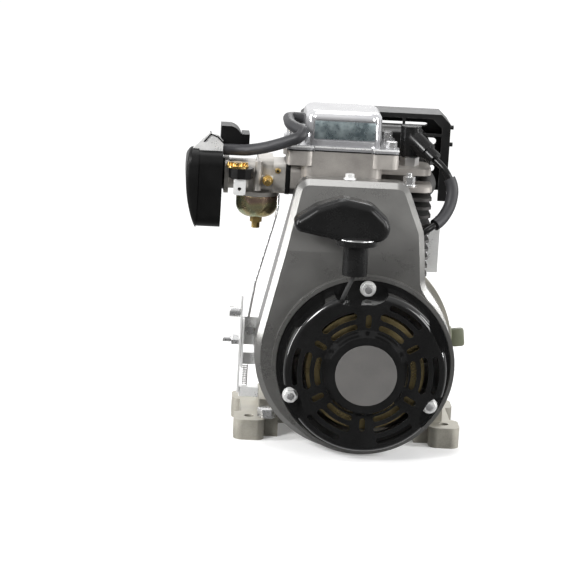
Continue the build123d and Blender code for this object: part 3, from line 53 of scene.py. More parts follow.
def makeCamera(s):
    turn, tilt, roll = (math.radians(s[k]) for k in ("turn", "tilt", "roll"))
    look = Vector((math.sin(turn) * math.cos(tilt), math.cos(turn) * math.cos(tilt), -math.sin(tilt)))
    flatRight = Vector((math.cos(turn), -math.sin(turn), 0.0))
    flatUp = flatRight.cross(look)
    right = flatRight * math.cos(roll) + flatUp * math.sin(roll)
    up = flatUp * math.cos(roll) - flatRight * math.sin(roll)
    data = bpy.data.cameras.new("viewCamera")
    data.lens = s["lens"]
    data.sensor_width = s["sensor"]
    data.clip_end = s["reach"]
    camera = bpy.data.objects.new("viewCamera", data)
    bpy.context.scene.collection.objects.link(camera)
    place = Matrix((right, up, -look)).transposed().to_4x4()
    place.translation = Vector(s["place"])
    camera.matrix_world = place
    bpy.context.scene.camera = camera


makeCamera(cameraSet)
bpy.context.scene.view_settings.view_transform = "Standard"

# Lamps in metres and watts, all aimed at one point
lightSet = {
    "key": {"place": (-1.9, -2.1, 1.7), "size": (0.8, 0.8), "power": 74.0},
    "fill": {"place": (1.9, -2.0, 1.0), "size": (0.9, 1.4), "power": 34.0},
    "top": {"place": (-0.2, 0.1, 2.3), "size": (1.4, 0.8), "power": 17.0},
    "leftStrip": {"place": (-1.9, -0.35, 0.75), "size": (0.3, 1.5), "power": 34.0},
    "rightStrip": {"place": (1.9, -0.35, 0.75), "size": (0.25, 1.4), "power": 34.0},
    "back": {"place": (0.4, 2.1, 1.7), "size": (1.2, 1.2), "power": 20.0},
}
aimPoint = Vector((0.0, 0.0, 0.15))


def makeLight(name, s):
    data = bpy.data.lights.new(name, "AREA")
    data.shape = "RECTANGLE"
    data.size, data.size_y = s["size"]
    data.energy = s["power"]
    lamp = bpy.data.objects.new(name, data)
    bpy.context.scene.collection.objects.link(lamp)
    lamp.location = s["place"]
    lamp.rotation_euler = (aimPoint - lamp.location).to_track_quat("-Z", "Y").to_euler()


for lightName, lightValues in lightSet.items():
    makeLight(lightName, lightValues)


# Shader nodes that the room, the finishes and the floor share
def feed(tree, socket, value):
    # A number or a colour is set on the socket, an output is linked to it
    if isinstance(value, (int, float, tuple)):
        socket.default_value = value
    else:
        tree.links.new(value, socket)


def mapRange(tree, value, fromMin, fromMax, toMin=0.0, toMax=1.0):
    node = tree.nodes.new("ShaderNodeMapRange")
    feed(tree, node.inputs["Value"], value)
    for label, limit in (("From Min", fromMin), ("From Max", fromMax), ("To Min", toMin), ("To Max", toMax)):
        feed(tree, node.inputs[label], limit)
    return node.outputs["Result"]


def addMath(tree, operation, first, second, clamp=False):
    node = tree.nodes.new("ShaderNodeMath")
    node.operation = operation
    node.use_clamp = clamp
    feed(tree, node.inputs[0], first)
    feed(tree, node.inputs[1], second)
    return node.outputs[0]


def mixColours(tree, factor, first, second):
    node = tree.nodes.new("ShaderNodeMix")
    node.data_type = "RGBA"
    feed(tree, node.inputs["Factor"], factor)
    feed(tree, node.inputs[6], first)
    feed(tree, node.inputs[7], second)
    return node.outputs[2]


def addNoise(tree, scale, detail, distortion=0.0):
    # Noise over the piece's own place
    node = tree.nodes.new("ShaderNodeTexNoise")
    feed(tree, node.inputs["Vector"], tree.nodes.new("ShaderNodeTexCoord").outputs["Object"])
    feed(tree, node.inputs["Scale"], scale)
    node.inputs["Detail"].default_value = detail
    node.inputs["Distortion"].default_value = distortion
    return node.outputs["Fac"]


# Pale room: strengths, and the heights and depths between which they change
roomSet = {"ambient": 0.24, "seen": 1.0, "low": 0.10, "high": 0.88, "horizon": (0.0, 0.7),
           "backdrop": (-0.3, 0.35), "underside": 0.6, "floorLine": (-0.04, 0.04)}


def makeWorld(s):
    # White to the camera; metal and gloss see a white backdrop, a bright ceiling and a dim room before them
    world = bpy.data.worlds.new("paleRoom")
    bpy.context.scene.world = world
    world.use_nodes = True
    tree = world.node_tree
    tree.nodes.clear()
    out = tree.nodes.new("ShaderNodeOutputWorld")
    path = tree.nodes.new("ShaderNodeLightPath")
    place = tree.nodes.new("ShaderNodeTexCoord")
    parts = tree.nodes.new("ShaderNodeSeparateXYZ")
    tree.links.new(place.outputs["Generated"], parts.inputs[0])
    ceiling = mapRange(tree, parts.outputs["Z"], *s["horizon"], s["low"], s["high"])
    above = mapRange(tree, parts.outputs["Z"], *s["floorLine"], s["underside"], 1.0)
    backdrop = addMath(tree, "MULTIPLY", mapRange(tree, parts.outputs["Y"], *s["backdrop"]), above)
    shown = addMath(tree, "MAXIMUM", ceiling, backdrop)
    glossy = addMath(tree, "MAXIMUM", path.outputs["Is Glossy Ray"], path.outputs["Is Transmission Ray"])
    rest = addMath(tree, "SUBTRACT", 1.0, glossy)
    strength = addMath(tree, "ADD", addMath(tree, "MULTIPLY", glossy, shown),
                       addMath(tree, "MULTIPLY", rest, s["ambient"]))
    notSeen = addMath(tree, "SUBTRACT", 1.0, path.outputs["Is Camera Ray"])
    total = addMath(tree, "ADD", addMath(tree, "MULTIPLY", notSeen, strength),
                    addMath(tree, "MULTIPLY", path.outputs["Is Camera Ray"], s["seen"]))
    background = tree.nodes.new("ShaderNodeBackground")
    background.inputs["Color"].default_value = (1.0, 1.0, 1.0, 1.0)
    tree.links.new(total, background.inputs["Strength"])
    tree.links.new(background.outputs[0], out.inputs["Surface"])


makeWorld(roomSet)
print("camera, lights and room ready")

# Grain: how much of the broad and the fine noise is mixed, and the part of the mix that is spread out
grainSet = {"broadDetail": 4.0, "fineDetail": 3.0, "broadShare": 0.7, "fineShare": 0.3, "spread": (0.35, 0.65)}
# Bare metal at worn edges: radius in metres, steepness, and the noise that breaks it up
wearSet = {"radius": 0.0012, "samples": 4, "gain": 6.0, "chipScale": 260.0, "chipDetail": 5.0,
           "chips": (0.42, 0.60), "colour": (0.45, 0.44, 0.42, 1.0)}


def newGroup(name, ins, outs):
    group = bpy.data.node_groups.new(name, "ShaderNodeTree")
    for label, kind, value in ins:
        socket = group.interface.new_socket(label, in_out="INPUT", socket_type=kind)
        socket.default_value = value
    for label, kind in outs:
        group.interface.new_socket(label, in_out="OUTPUT", socket_type=kind)
    return group, group.nodes.new("NodeGroupInput"), group.nodes.new("NodeGroupOutput")


def makeGrainGroup(s):
    number, colour = "NodeSocketFloat", "NodeSocketColor"
    group, start, end = newGroup(
        "surfaceGrain",
        [("Light", colour, (0.5, 0.5, 0.5, 1.0)), ("Dark", colour, (0.4, 0.4, 0.4, 1.0)),
         ("Broad Scale", number, 40.0), ("Fine Scale", number, 900.0),
         ("Smooth", number, 0.3), ("Rough", number, 0.5)],
        [("Color", colour), ("Roughness", number), ("Height", number)])
    broad = addNoise(group, start.outputs["Broad Scale"], s["broadDetail"])
    fine = addNoise(group, start.outputs["Fine Scale"], s["fineDetail"])
    blend = addMath(group, "ADD", addMath(group, "MULTIPLY", broad, s["broadShare"]),
                    addMath(group, "MULTIPLY", fine, s["fineShare"]))
    tint = mixColours(group, mapRange(group, blend, *s["spread"]), start.outputs["Dark"], start.outputs["Light"])
    rough = mapRange(group, blend, *s["spread"], start.outputs["Smooth"], start.outputs["Rough"])
    feed(group, end.inputs["Color"], tint)
    feed(group, end.inputs["Roughness"], rough)
    feed(group, end.inputs["Height"], fine)
    return group


def makeWearGroup(s):
    number = "NodeSocketFloat"
    group, start, end = newGroup("edgeWear", [("Radius", number, 0.001), ("Amount", number, 0.5)],
                                 [("Mask", number)])
    soft = group.nodes.new("ShaderNodeBevel")
    soft.samples = s["samples"]
    feed(group, soft.inputs["Radius"], start.outputs["Radius"])
    flat = group.nodes.new("ShaderNodeNewGeometry")
    dot = group.nodes.new("ShaderNodeVectorMath")
    dot.operation = "DOT_PRODUCT"
    feed(group, dot.inputs[0], soft.outputs[0])
    feed(group, dot.inputs[1], flat.outputs["Normal"])
    edge = addMath(group, "MULTIPLY", addMath(group, "SUBTRACT", 1.0, dot.outputs["Value"]), s["gain"], True)
    broken = mapRange(group, addNoise(group, s["chipScale"], s["chipDetail"]), *s["chips"])
    mask = addMath(group, "MULTIPLY", addMath(group, "MULTIPLY", edge, broken), start.outputs["Amount"], True)
    feed(group, end.inputs["Mask"], mask)
    return group


grainGroup = makeGrainGroup(grainSet)
wearGroup = makeWearGroup(wearSet)

# Finishes: light and dark tint, smooth and rough limits, metal, bump height in mm and its scale
finishes = {
    "shroudPaint": {"light": (0.165, 0.163, 0.156), "dark": (0.142, 0.140, 0.134), "smooth": 0.26, "rough": 0.33,
                    "metal": 0.6, "bump": 0.004, "fine": 1800.0, "coat": 0.5},
    "glossBlack": {"light": (0.007, 0.007, 0.007), "dark": (0.004, 0.004, 0.004), "smooth": 0.16, "rough": 0.24,
                   "bump": 0.004, "fine": 700.0, "coat": 0.8, "spec": 0.15, "coatRough": 0.05},
    "blackPlastic": {"light": (0.007, 0.007, 0.007), "dark": (0.004, 0.004, 0.004), "smooth": 0.30, "rough": 0.42,
                     "bump": 0.01, "fine": 1500.0, "spec": 0.15},
    "blackPaint": {"light": (0.012, 0.012, 0.012), "dark": (0.007, 0.007, 0.007), "smooth": 0.32, "rough": 0.45,
                   "bump": 0.02, "fine": 900.0, "wear": 0.12, "spec": 0.25},
    "discGrey": {"light": (0.112, 0.108, 0.104), "dark": (0.098, 0.095, 0.092), "smooth": 0.40, "rough": 0.50,
                 "metal": 0.2, "bump": 0.004, "fine": 900.0, "spec": 0.22},
    "bronzeZinc": {"light": (0.50, 0.40, 0.20), "dark": (0.30, 0.24, 0.12), "smooth": 0.24, "rough": 0.38,
                   "metal": 0.9, "bump": 0.006, "fine": 900.0},
    "tintedZinc": {"light": (0.58, 0.52, 0.32), "dark": (0.42, 0.40, 0.27), "smooth": 0.20, "rough": 0.30,
                   "metal": 0.9, "bump": 0.004, "fine": 500.0, "broad": 60.0, "tints": True},
    "castAluminium": {"light": (0.46, 0.44, 0.41), "dark": (0.32, 0.305, 0.285), "smooth": 0.40, "rough": 0.58,
                      "metal": 0.65, "bump": 0.07, "fine": 1100.0, "wear": 0.3},
    "headCasting": {"light": (0.44, 0.415, 0.385), "dark": (0.32, 0.30, 0.28), "smooth": 0.38, "rough": 0.52,
                    "metal": 0.6, "bump": 0.05, "fine": 1100.0,
                    # Painted shade: below this height the head's fins take a dark colour for the shade in their
                    # gaps
                    "finShadeColour": (0.065, 0.062, 0.06), "finShadeBelow": 0.2315, "finShadeBlend": 0.001},
    "footCasting": {"light": (0.40, 0.38, 0.33), "dark": (0.26, 0.25, 0.215), "smooth": 0.45, "rough": 0.65,
                    "metal": 0.5, "bump": 0.09, "fine": 900.0, "wear": 0.3},
    "darkCasting": {"light": (0.085, 0.083, 0.080), "dark": (0.040, 0.039, 0.038), "smooth": 0.42, "rough": 0.60,
                    "metal": 0.5, "bump": 0.06, "fine": 1100.0, "wear": 0.4},
    "chrome": {"light": (0.66, 0.66, 0.67), "dark": (0.58, 0.58, 0.60), "smooth": 0.08, "rough": 0.15,
               "metal": 0.72, "bump": 0.004, "fine": 260.0},
    # Painted reflection: the valve panel's mottled grey-blue stands in for the dim room mirrored in its chrome
    "panelReflection": {"light": (0.36, 0.42, 0.43), "dark": (0.13, 0.17, 0.185), "smooth": 0.22, "rough": 0.40,
                  "metal": 0.75, "bump": 0.01, "fine": 420.0, "broad": 110.0},
    "zinc": {"light": (0.80, 0.80, 0.80), "dark": (0.58, 0.58, 0.58), "smooth": 0.20, "rough": 0.34,
             "metal": 0.85, "bump": 0.006, "fine": 900.0},
    "brightZinc": {"light": (0.82, 0.82, 0.81), "dark": (0.66, 0.66, 0.65), "smooth": 0.25, "rough": 0.40,
                   "metal": 0.4, "bump": 0.008, "fine": 900.0},
    "steel": {"light": (0.62, 0.61, 0.60), "dark": (0.46, 0.45, 0.44), "smooth": 0.26, "rough": 0.42,
              "metal": 1.0, "bump": 0.008, "fine": 1200.0},
    "brass": {"light": (0.80, 0.58, 0.22), "dark": (0.55, 0.36, 0.12), "smooth": 0.22, "rough": 0.36,
              "metal": 1.0, "bump": 0.006, "fine": 900.0},
    "rubber": {"light": (0.030, 0.030, 0.033), "dark": (0.018, 0.018, 0.020), "smooth": 0.42, "rough": 0.55,
               "bump": 0.015, "fine": 1300.0, "spec": 0.35},
    "glossRubber": {"light": (0.009, 0.009, 0.009), "dark": (0.006, 0.006, 0.006), "smooth": 0.20, "rough": 0.30,
                    "bump": 0.004, "fine": 900.0, "spec": 0.22},
    "olivePlastic": {"light": (0.155, 0.165, 0.11), "dark": (0.12, 0.128, 0.085), "smooth": 0.40, "rough": 0.55,
                     "bump": 0.02, "fine": 900.0},
    "braidedRope": {"light": (0.05, 0.05, 0.05), "dark": (0.010, 0.010, 0.010), "smooth": 0.7, "rough": 0.9,
                    "bump": 0.15, "fine": 2200.0, "spec": 0.2},
}
# What a finish has where it names nothing else
plainFinish = {"broad": 45.0, "metal": 0.0, "coat": 0.0, "coatRough": 0.12, "spec": 0.5}
# Pink, straw and green shades of the tinted zinc's colour film: place along the ramp and colour
filmSet = {"scale": 55.0, "detail": 1.0, "distortion": 1.4, "share": 0.6,
           "low": (0.36, (0.62, 0.36, 0.33, 1.0)), "middle": (0.5, (0.62, 0.52, 0.26, 1.0)),
           "high": (0.64, (0.42, 0.52, 0.34, 1.0))}
mmPerMetre = 1000.0
materials = {}


def wornColour(tree, colour, amount):
    wear = tree.nodes.new("ShaderNodeGroup")
    wear.node_tree = wearGroup
    wear.inputs["Radius"].default_value = wearSet["radius"]
    wear.inputs["Amount"].default_value = amount
    return mixColours(tree, wear.outputs["Mask"], colour, wearSet["colour"])


def filmColour(tree, colour, s):
    film = addNoise(tree, s["scale"], s["detail"], s["distortion"])
    ramp = tree.nodes.new("ShaderNodeValToRGB")
    stops = ramp.color_ramp.elements
    stops[0].position, stops[0].color = s["low"]
    stops[1].position, stops[1].color = s["high"]
    stops.new(s["middle"][0]).color = s["middle"][1]
    tree.links.new(film, ramp.inputs["Fac"])
    return mixColours(tree, s["share"], colour, ramp.outputs["Color"])


def paintFinShade(tree, colour, s):
    # Painted shade: darker below a height given in metres, standing in for the shade in the gaps between the
    # cylinder head's fins
    place = tree.nodes.new("ShaderNodeTexCoord")
    parts = tree.nodes.new("ShaderNodeSeparateXYZ")
    tree.links.new(place.outputs["Object"], parts.inputs[0])
    under = mapRange(tree, parts.outputs["Z"], s["finShadeBelow"] + s["finShadeBlend"], s["finShadeBelow"] - s["finShadeBlend"])
    return mixColours(tree, under, colour, (*s["finShadeColour"], 1.0))


def makeFinish(name, s):
    material = bpy.data.materials.new(name)
    material.use_nodes = True
    tree = material.node_tree
    shader = tree.nodes["Principled BSDF"]
    grain = tree.nodes.new("ShaderNodeGroup")
    grain.node_tree = grainGroup
    for label, key in (("Broad Scale", "broad"), ("Fine Scale", "fine"), ("Smooth", "smooth"), ("Rough", "rough")):
        grain.inputs[label].default_value = s[key]
    for label, key in (("Light", "light"), ("Dark", "dark")):
        grain.inputs[label].default_value = (*s[key], 1.0)
    for label, key in (("Metallic", "metal"), ("Coat Weight", "coat"), ("Coat Roughness", "coatRough"),
                       ("Specular IOR Level", "spec")):
        shader.inputs[label].default_value = s[key]
    bump = tree.nodes.new("ShaderNodeBump")
    bump.inputs["Strength"].default_value = 1.0
    bump.inputs["Distance"].default_value = s["bump"] / mmPerMetre
    tree.links.new(grain.outputs["Height"], bump.inputs["Height"])
    tree.links.new(bump.outputs[0], shader.inputs["Normal"])
    tree.links.new(grain.outputs["Roughness"], shader.inputs["Roughness"])
    colour = grain.outputs["Color"]
    if "wear" in s:
        colour = wornColour(tree, colour, s["wear"])
    elif "tints" in s:
        colour = filmColour(tree, colour, filmSet)
    elif "finShadeColour" in s:
        colour = paintFinShade(tree, colour, s)
    tree.links.new(colour, shader.inputs["Base Color"])
    materials[name] = material


for finishName, finishValues in finishes.items():
    makeFinish(finishName, {**plainFinish, **finishValues})
print("finishes ready", len(materials))

# Which finish each record slot takes
slotFinish = {
    "shroud_paint": "shroudPaint", "gloss_black": "glossBlack", "black_plastic": "blackPlastic",
    "black_paint": "blackPaint", "disc_grey": "discGrey", "bronze_zinc": "bronzeZinc",
    "cast_aluminium": "castAluminium", "dark_casting": "darkCasting", "chrome": "chrome", "zinc": "zinc",
    "steel": "steel", "brass": "brass", "rubber": "rubber", "olive_plastic": "olivePlastic",
    "rope": "braidedRope",
}
# Pieces whose surface differs from the rest of their slot
nodeFinish = {
    "carburettor_bowl": "tintedZinc", "crankcase": "footCasting", "choke_bracket": "brightZinc",
    # Painted highlight: the air cleaner's sloped plate takes bright zinc for the sheen of its black plastic top at
    # a grazing angle
    "air_deflector": "brightZinc", "air_cleaner_plate": "brightZinc", "plug_cap": "glossRubber",
    "ignition_lead": "glossRubber", "pull_handle": "glossRubber", "control_bracket": "brightZinc",
    "throttle_arm": "brightZinc", "recoil_bolts": "brightZinc", "shroud_bolt": "brightZinc",
    "cylinder_head": "headCasting", "exhaust_elbow": "darkCasting", "spring_link": "brightZinc",
    "choke_cap": "brass",
}
slotOf = {row["node"]: row["material_slot"] for row in frame["record"]["subparts"]}
bodyOf = {node: body for body, nodes in frame["record"]["behaviour"]["bodies"].items() for node in nodes}

# Angles in degrees, the distance in metres at which points are merged
modelSet = {"smoothAngle": 35.0, "roundAngle": 35.0, "rimAngle": 22.0, "flatAngle": 1.0, "merge": 0.000002}


def deselectAll():
    if bpy.context.object and bpy.context.object.mode != "OBJECT":
        bpy.ops.object.mode_set(mode="OBJECT")
    bpy.ops.object.select_all(action="DESELECT")


def pick(piece):
    deselectAll()
    bpy.context.view_layer.objects.active = piece
    piece.select_set(True)


def settle(piece):
    pick(piece)
    bpy.ops.object.transform_apply(location=True, rotation=True, scale=True)


def mergePoints(piece, cleanUp):
    pick(piece)
    bpy.ops.object.mode_set(mode="EDIT")
    bpy.ops.mesh.select_all(action="SELECT")
    bpy.ops.mesh.remove_doubles(threshold=modelSet["merge"])
    cleanUp()
    bpy.ops.object.mode_set(mode="OBJECT")


def roundEdges(piece, width, segments=2, limit="ANGLE"):
    bevel = piece.modifiers.new("edges", "BEVEL")
    bevel.width = width / mmPerMetre
    bevel.segments = segments
    bevel.limit_method = limit
    bevel.angle_limit = math.radians(modelSet["roundAngle"])
    pick(piece)
    bpy.ops.object.modifier_apply(modifier=bevel.name)


def finishPiece(piece, node, finish=None, replaced=()):
    body, slotName = bodyOf[node], slotOf[node]
    settle(piece)
    bpy.ops.object.shade_smooth_by_angle(angle=math.radians(modelSet["smoothAngle"]))
    piece.data.materials.clear()
    piece.data.materials.append(materials[finish or slotFinish[slotName]])
    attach(piece, body)
    if replaced:
        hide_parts(*replaced)


# Edge rounding in mm of the pieces that keep their solid's shape
edgeRound = {
    "crankcase": 1.2, "side_cover": 1.5, "cover_bolts": 0.4, "output_shaft": 0.5,
    "flywheel": 0.6, "starter_cup": 0.6, "fan_shroud": 0.7, "shroud_bolt": 0.4,
    "recoil_cover": 0.8, "recoil_bolts": 0.4, "centre_disc": 0.3, "pull_handle": 2.0,
    "cylinder": 0.7, "cylinder_head": 0.5, "head_nut": 0.4, "valve_cover": 1.4, "valve_cover_bolts": 0.5,
    "spark_plug": 0.4, "plug_cap": 1.6, "ignition_coil": 0.8, "intake_insulator": 0.8,
    "carburettor_body": 0.9, "carburettor_bowl": 1.2, "bowl_drain": 0.5, "fuel_inlet": 0.4,
    "choke_ring": 0.5, "choke_cap": 0.5, "choke_bracket": 0.3,
    "air_cleaner_base": 1.0, "air_cleaner_cover": 1.0, "air_cleaner_plate": 0.8, "intake_snorkel": 0.8,
    "muffler": 1.5, "muffler_guard": 0.4, "air_deflector": 0.2, "drain_plug": 0.8,
    "control_bracket": 0.3, "control_screw": 0.4, "throttle_arm": 0.3, "arm_pivot": 0.4,
    "cable_clamp": 0.5, "spring_link": 0.6,
}
# The shroud's broad front rim in mm, kept clear of the round opening about the crank
shroudRim = {"width": 3.0, "segments": 3, "front": -66.0, "crank": (8.0, 84.0), "clear": 85.5}


def markRim(piece, s):
    # Weights of one on the sharp edges of the front, outside the round opening
    mesh = piece.data
    weight = mesh.attributes.new("bevel_weight_edge", "FLOAT", "EDGE")
    crank = Vector(s["crank"]) / mmPerMetre
    faces = {}
    for face in mesh.polygons:
        for key in face.edge_keys:
            faces.setdefault(key, []).append(face.normal)
    for edge in mesh.edges:
        sides = faces.get(tuple(sorted(edge.vertices)), [])
        if len(sides) != 2 or sides[0].angle(sides[1], 0.0) < math.radians(modelSet["rimAngle"]):
            continue
        middle = (mesh.vertices[edge.vertices[0]].co + mesh.vertices[edge.vertices[1]].co) / 2
        if middle.y < s["front"] / mmPerMetre and (middle.xz - crank).length > s["clear"] / mmPerMetre:
            weight.data[edge.index].value = 1.0


def dressNode(node):
    # A merged copy of the solid with its edges rounded stands for it
    source = frame["nodes"][node]
    piece = bpy.data.objects.new(node + "_piece", source.data.copy())
    bpy.context.scene.collection.objects.link(piece)
    piece.matrix_world = source.matrix_world
    mergePoints(piece, lambda: bpy.ops.mesh.dissolve_limited(angle_limit=math.radians(modelSet["flatAngle"])))
    if node == "fan_shroud":
        markRim(piece, shroudRim)
        roundEdges(piece, shroudRim["width"], shroudRim["segments"], "WEIGHT")
    if node in edgeRound:
        roundEdges(piece, edgeRound[node])
    level = piece.modifiers.new("even", "WEIGHTED_NORMAL")
    level.keep_sharp = True
    finishPiece(piece, node, finish=nodeFinish.get(node), replaced=(node,))
    bpy.ops.object.modifier_apply(modifier=level.name)


# These two are modelled anew further down
remade = ("governor_spring", "oil_filler_plug")
for nodeName in frame["nodes"]:
    if nodeName not in remade:
        dressNode(nodeName)
print("solids dressed")


def addDisc(name, node, finish, s):
    # Disc or many-sided head in mm, with its axis given
    bpy.ops.mesh.primitive_cylinder_add(vertices=s.get("sides", 32), radius=s["radius"] / mmPerMetre,
                                        depth=s["depth"] / mmPerMetre)
    piece = bpy.context.object
    piece.name = name
    piece.rotation_euler = Vector(s["axis"]).to_track_quat("Z", "Y").to_euler()
    piece.location = Vector(s["middle"]) / mmPerMetre
    settle(piece)
    roundEdges(piece, s.get("edge", 0.2))
    finishPiece(piece, node, finish=finish)


def addBlock(name, node, finish, s):
    # Block in mm, turned about the depth axis
    bpy.ops.mesh.primitive_cube_add(size=1.0)
    piece = bpy.context.object
    piece.name = name
    piece.scale = Vector(s["size"]) / mmPerMetre
    piece.rotation_euler = (0.0, math.radians(s.get("turn", 0.0)), 0.0)
    piece.location = Vector(s["middle"]) / mmPerMetre
    settle(piece)
    roundEdges(piece, s.get("edge", 0.3))
    finishPiece(piece, node, finish=finish)
    return piece


# Black frame on the air cleaner's sloped plate: bars in mm between points of an upright plane
plateFrame = {"line": [(-143.5, 270.6), (-137.8, 277.6), (-131.4, 274.9), (-126.6, 270.1)],
              "y": -26.3, "width": 1.2, "depth": 1.6, "edge": 0.2}


def addBar(name, node, finish, start, end, s):
    run, rise = end[0] - start[0], end[1] - start[1]
    addBlock(name, node, finish, {
        "middle": ((start[0] + end[0]) / 2, s["y"], (start[1] + end[1]) / 2),
        "size": (math.hypot(run, rise) + s["width"], s["depth"], s["width"]),
        "turn": -math.degrees(math.atan2(rise, run)), "edge": s["edge"]})


for place, (start, end) in enumerate(zip(plateFrame["line"], plateFrame["line"][1:])):
    addBar("plate_frame_" + str(place), "air_cleaner_base", "blackPlastic", start, end, plateFrame)

# Clip that holds the sloped plate
plateClip = {"middle": (-138.4, -22.0, 279.3), "size": (2.2, 6.0, 1.8)}
addBlock("plate_clip", "air_cleaner_plate", "zinc", plateClip)

# Carburettor: brass screw with a dark disc of painted shade for its slot, a pale strip on the barrel and a dark
# disc of painted shade in the mouth of a tube
flangeScrew = {"middle": (-75.7, -26.6, 246.6), "axis": (0, -1, 0), "radius": 2.5, "depth": 2.4, "edge": 0.4}
addDisc("flange_screw", "carburettor_body", "brass", flangeScrew)
slotShade = {"middle": (-75.7, -27.9, 246.6), "axis": (0, -1, 0), "radius": 1.0, "depth": 0.5, "sides": 16}
addDisc("slot_shade", "carburettor_body", "blackPlastic", slotShade)
barrelStrip = {"middle": (-84.8, -24.5, 239.6), "size": (11.5, 1.6, 4.0)}
addBlock("barrel_strip", "carburettor_body", "brightZinc", barrelStrip)
mouthShade = {"middle": (-93.5, -28.0, 254.9), "axis": (0, 0, 1), "radius": 1.7, "depth": 0.5, "sides": 20}
addDisc("mouth_shade", "carburettor_body", "blackPlastic", mouthShade)

# Valve cover: panel in its bright frame, whose mottled grey-blue colour is a painted reflection of the dim room in
# the chrome
valvePanel = {"middle": (-17.0, -30.9, 287.0), "size": (55.0, 1.2, 16.6), "edge": 0.5}
addBlock("valve_panel", "valve_cover", "panelReflection", valvePanel)

# Painted shade: a dark line under the cover's flange, where the flange shades the head, and a painted highlight: a
# bright lip along its edge, each in three runs
flangeRuns = [{"x": -18.0, "width": 51.8, "face": -35.2}, {"x": -56.8, "width": 24.2, "face": -37.6},
              {"x": 20.8, "width": 24.2, "face": -37.6}]
flangeShadeSet = {"z": 268.4, "depth": 0.6, "height": 1.1, "edge": 0.1}
lipHighlightSet = {"z": 271.7, "depth": 0.7, "height": 1.5, "edge": 0.25}


def addRun(name, node, finish, run, s):
    addBlock(name, node, finish, {"middle": (run["x"], run["face"], s["z"]),
                                  "size": (run["width"], s["depth"], s["height"]), "edge": s["edge"]})


for place, run in enumerate(flangeRuns):
    addRun("flange_shade_" + str(place), "cylinder_head", "blackPlastic", run, flangeShadeSet)
    addRun("flange_highlight_" + str(place), "valve_cover", "brightZinc", run, lipHighlightSet)

# Painted highlight: a satin zinc face on the collar under the grip, standing in for the light its top reflects
collarHighlight = {"middle": (-6.5, -109.0, 204.1), "axis": (0, 0, 1), "radius": 18.6, "depth": 0.9, "sides": 48}
addDisc("collar_highlight", "pull_handle", "zinc", collarHighlight)

# Recoil cover bolts: a dished face on each head, on a circle about the crank
boltDish = {"crank": (8.0, 84.0), "circle": 71.0, "angles": (90.0, 205.0, 331.0), "face": -97.7,
            "axis": (0, -1, 0), "radius": 3.4, "depth": 0.5, "edge": 0.15}
for place, angle in enumerate(boltDish["angles"]):
    boltX = boltDish["crank"][0] + boltDish["circle"] * math.cos(math.radians(angle))
    boltZ = boltDish["crank"][1] + boltDish["circle"] * math.sin(math.radians(angle))
    addDisc("bolt_dish_" + str(place), "recoil_bolts", "zinc",
            {**boltDish, "middle": (boltX, boltDish["face"], boltZ)})

# Governor spring: wound wire in mm in place of the round bar
springSet = {"radius": 2.2, "wire": 0.5, "wireSides": 8, "turns": 11, "steps": 20}


def addSpring(s):
    low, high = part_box("governor_spring")
    middle = (Vector(low) + Vector(high)) / 2
    bpy.ops.mesh.primitive_circle_add(vertices=s["wireSides"], radius=s["wire"] / mmPerMetre,
                                      location=(s["radius"] / mmPerMetre, 0.0, 0.0),
                                      rotation=(math.radians(90.0), 0.0, 0.0))
    piece = bpy.context.object
    piece.name = "spring_coil"
    settle(piece)
    screw = piece.modifiers.new("winding", "SCREW")
    screw.iterations = s["turns"]
    screw.screw_offset = (high[2] - low[2] - 2 * s["wire"] / mmPerMetre) / s["turns"]
    screw.steps = screw.render_steps = s["steps"]
    bpy.ops.object.modifier_apply(modifier=screw.name)
    piece.location = (middle.x, middle.y, low[2] + s["wire"] / mmPerMetre)
    settle(piece)
    mergePoints(piece, lambda: bpy.ops.mesh.normals_make_consistent(inside=False))
    finishPiece(piece, "governor_spring", replaced=("governor_spring",))


addSpring(springSet)

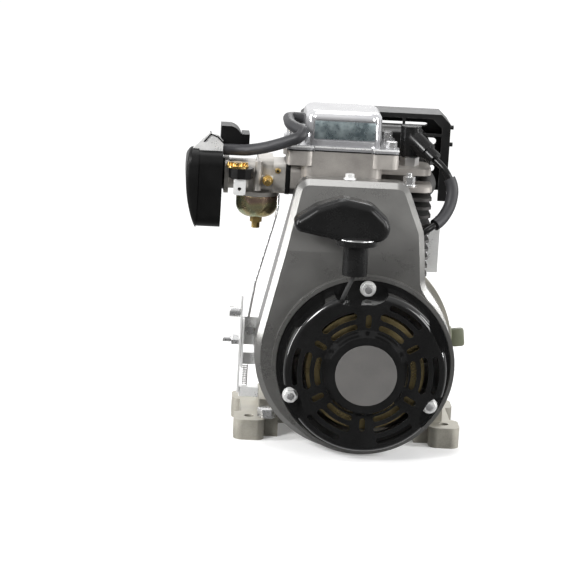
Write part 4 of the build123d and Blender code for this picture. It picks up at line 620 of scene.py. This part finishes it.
# Oil filler plug: round neck and a rounded grip that leans, in mm from the ends of its box
plugLow, plugHigh = (Vector(corner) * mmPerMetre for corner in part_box("oil_filler_plug"))
plugMiddle = (plugLow + plugHigh) / 2
fillerNeck = {"in": 9.5, "axis": (1, 0, 0), "radius": 9.8, "depth": 19.0, "sides": 40, "edge": 0.8}
fillerNeck["middle"] = (plugLow.x + fillerNeck["in"], plugMiddle.y, plugMiddle.z)
addDisc("filler_neck", "oil_filler_plug", "olivePlastic", fillerNeck)
gripSet = {"in": 7.8, "size": (12.5, 6.8, 17.6), "edge": 2.6, "turn": -7.0}
gripSet["middle"] = (plugHigh.x - gripSet["in"], plugMiddle.y, plugMiddle.z)
fillerGrip = addBlock("filler_grip", "oil_filler_plug", "olivePlastic", gripSet)
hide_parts("oil_filler_plug")
print("added details ready")

# Floor: pale with the piece's shadow, and white away from it
floorSet = {"size": 9.0, "colour": (0.86, 0.86, 0.86, 1.0), "farColour": (0.1, 0.1, 0.1, 1.0), "glow": 0.16,
            "fade": (0.32, 1.3), "rough": 0.9}


def makeFloor(s):
    bpy.ops.mesh.primitive_plane_add(size=s["size"], location=(0.0, 0.0, 0.0))
    floor = bpy.context.object
    floor.name = "floor"
    material = bpy.data.materials.new("paleFloor")
    material.use_nodes = True
    tree = material.node_tree
    shader = tree.nodes["Principled BSDF"]
    place = tree.nodes.new("ShaderNodeTexCoord")
    reach = tree.nodes.new("ShaderNodeVectorMath")
    reach.operation = "LENGTH"
    tree.links.new(place.outputs["Object"], reach.inputs[0])
    fade = mapRange(tree, reach.outputs["Value"], *s["fade"])
    tree.links.new(mixColours(tree, fade, s["colour"], s["farColour"]), shader.inputs["Base Color"])
    shader.inputs["Roughness"].default_value = s["rough"]
    shader.inputs["Specular IOR Level"].default_value = 0.0
    shader.inputs["Emission Color"].default_value = (1.0, 1.0, 1.0, 1.0)
    path = tree.nodes.new("ShaderNodeLightPath")
    glow = addMath(tree, "ADD", addMath(tree, "MULTIPLY", fade, 1.0 - s["glow"]), s["glow"])
    seenGlow = addMath(tree, "MULTIPLY", path.outputs["Is Camera Ray"], glow)
    tree.links.new(seenGlow, shader.inputs["Emission Strength"])
    floor.data.materials.append(material)
    floor.visible_glossy = False


deselectAll()
makeFloor(floorSet)
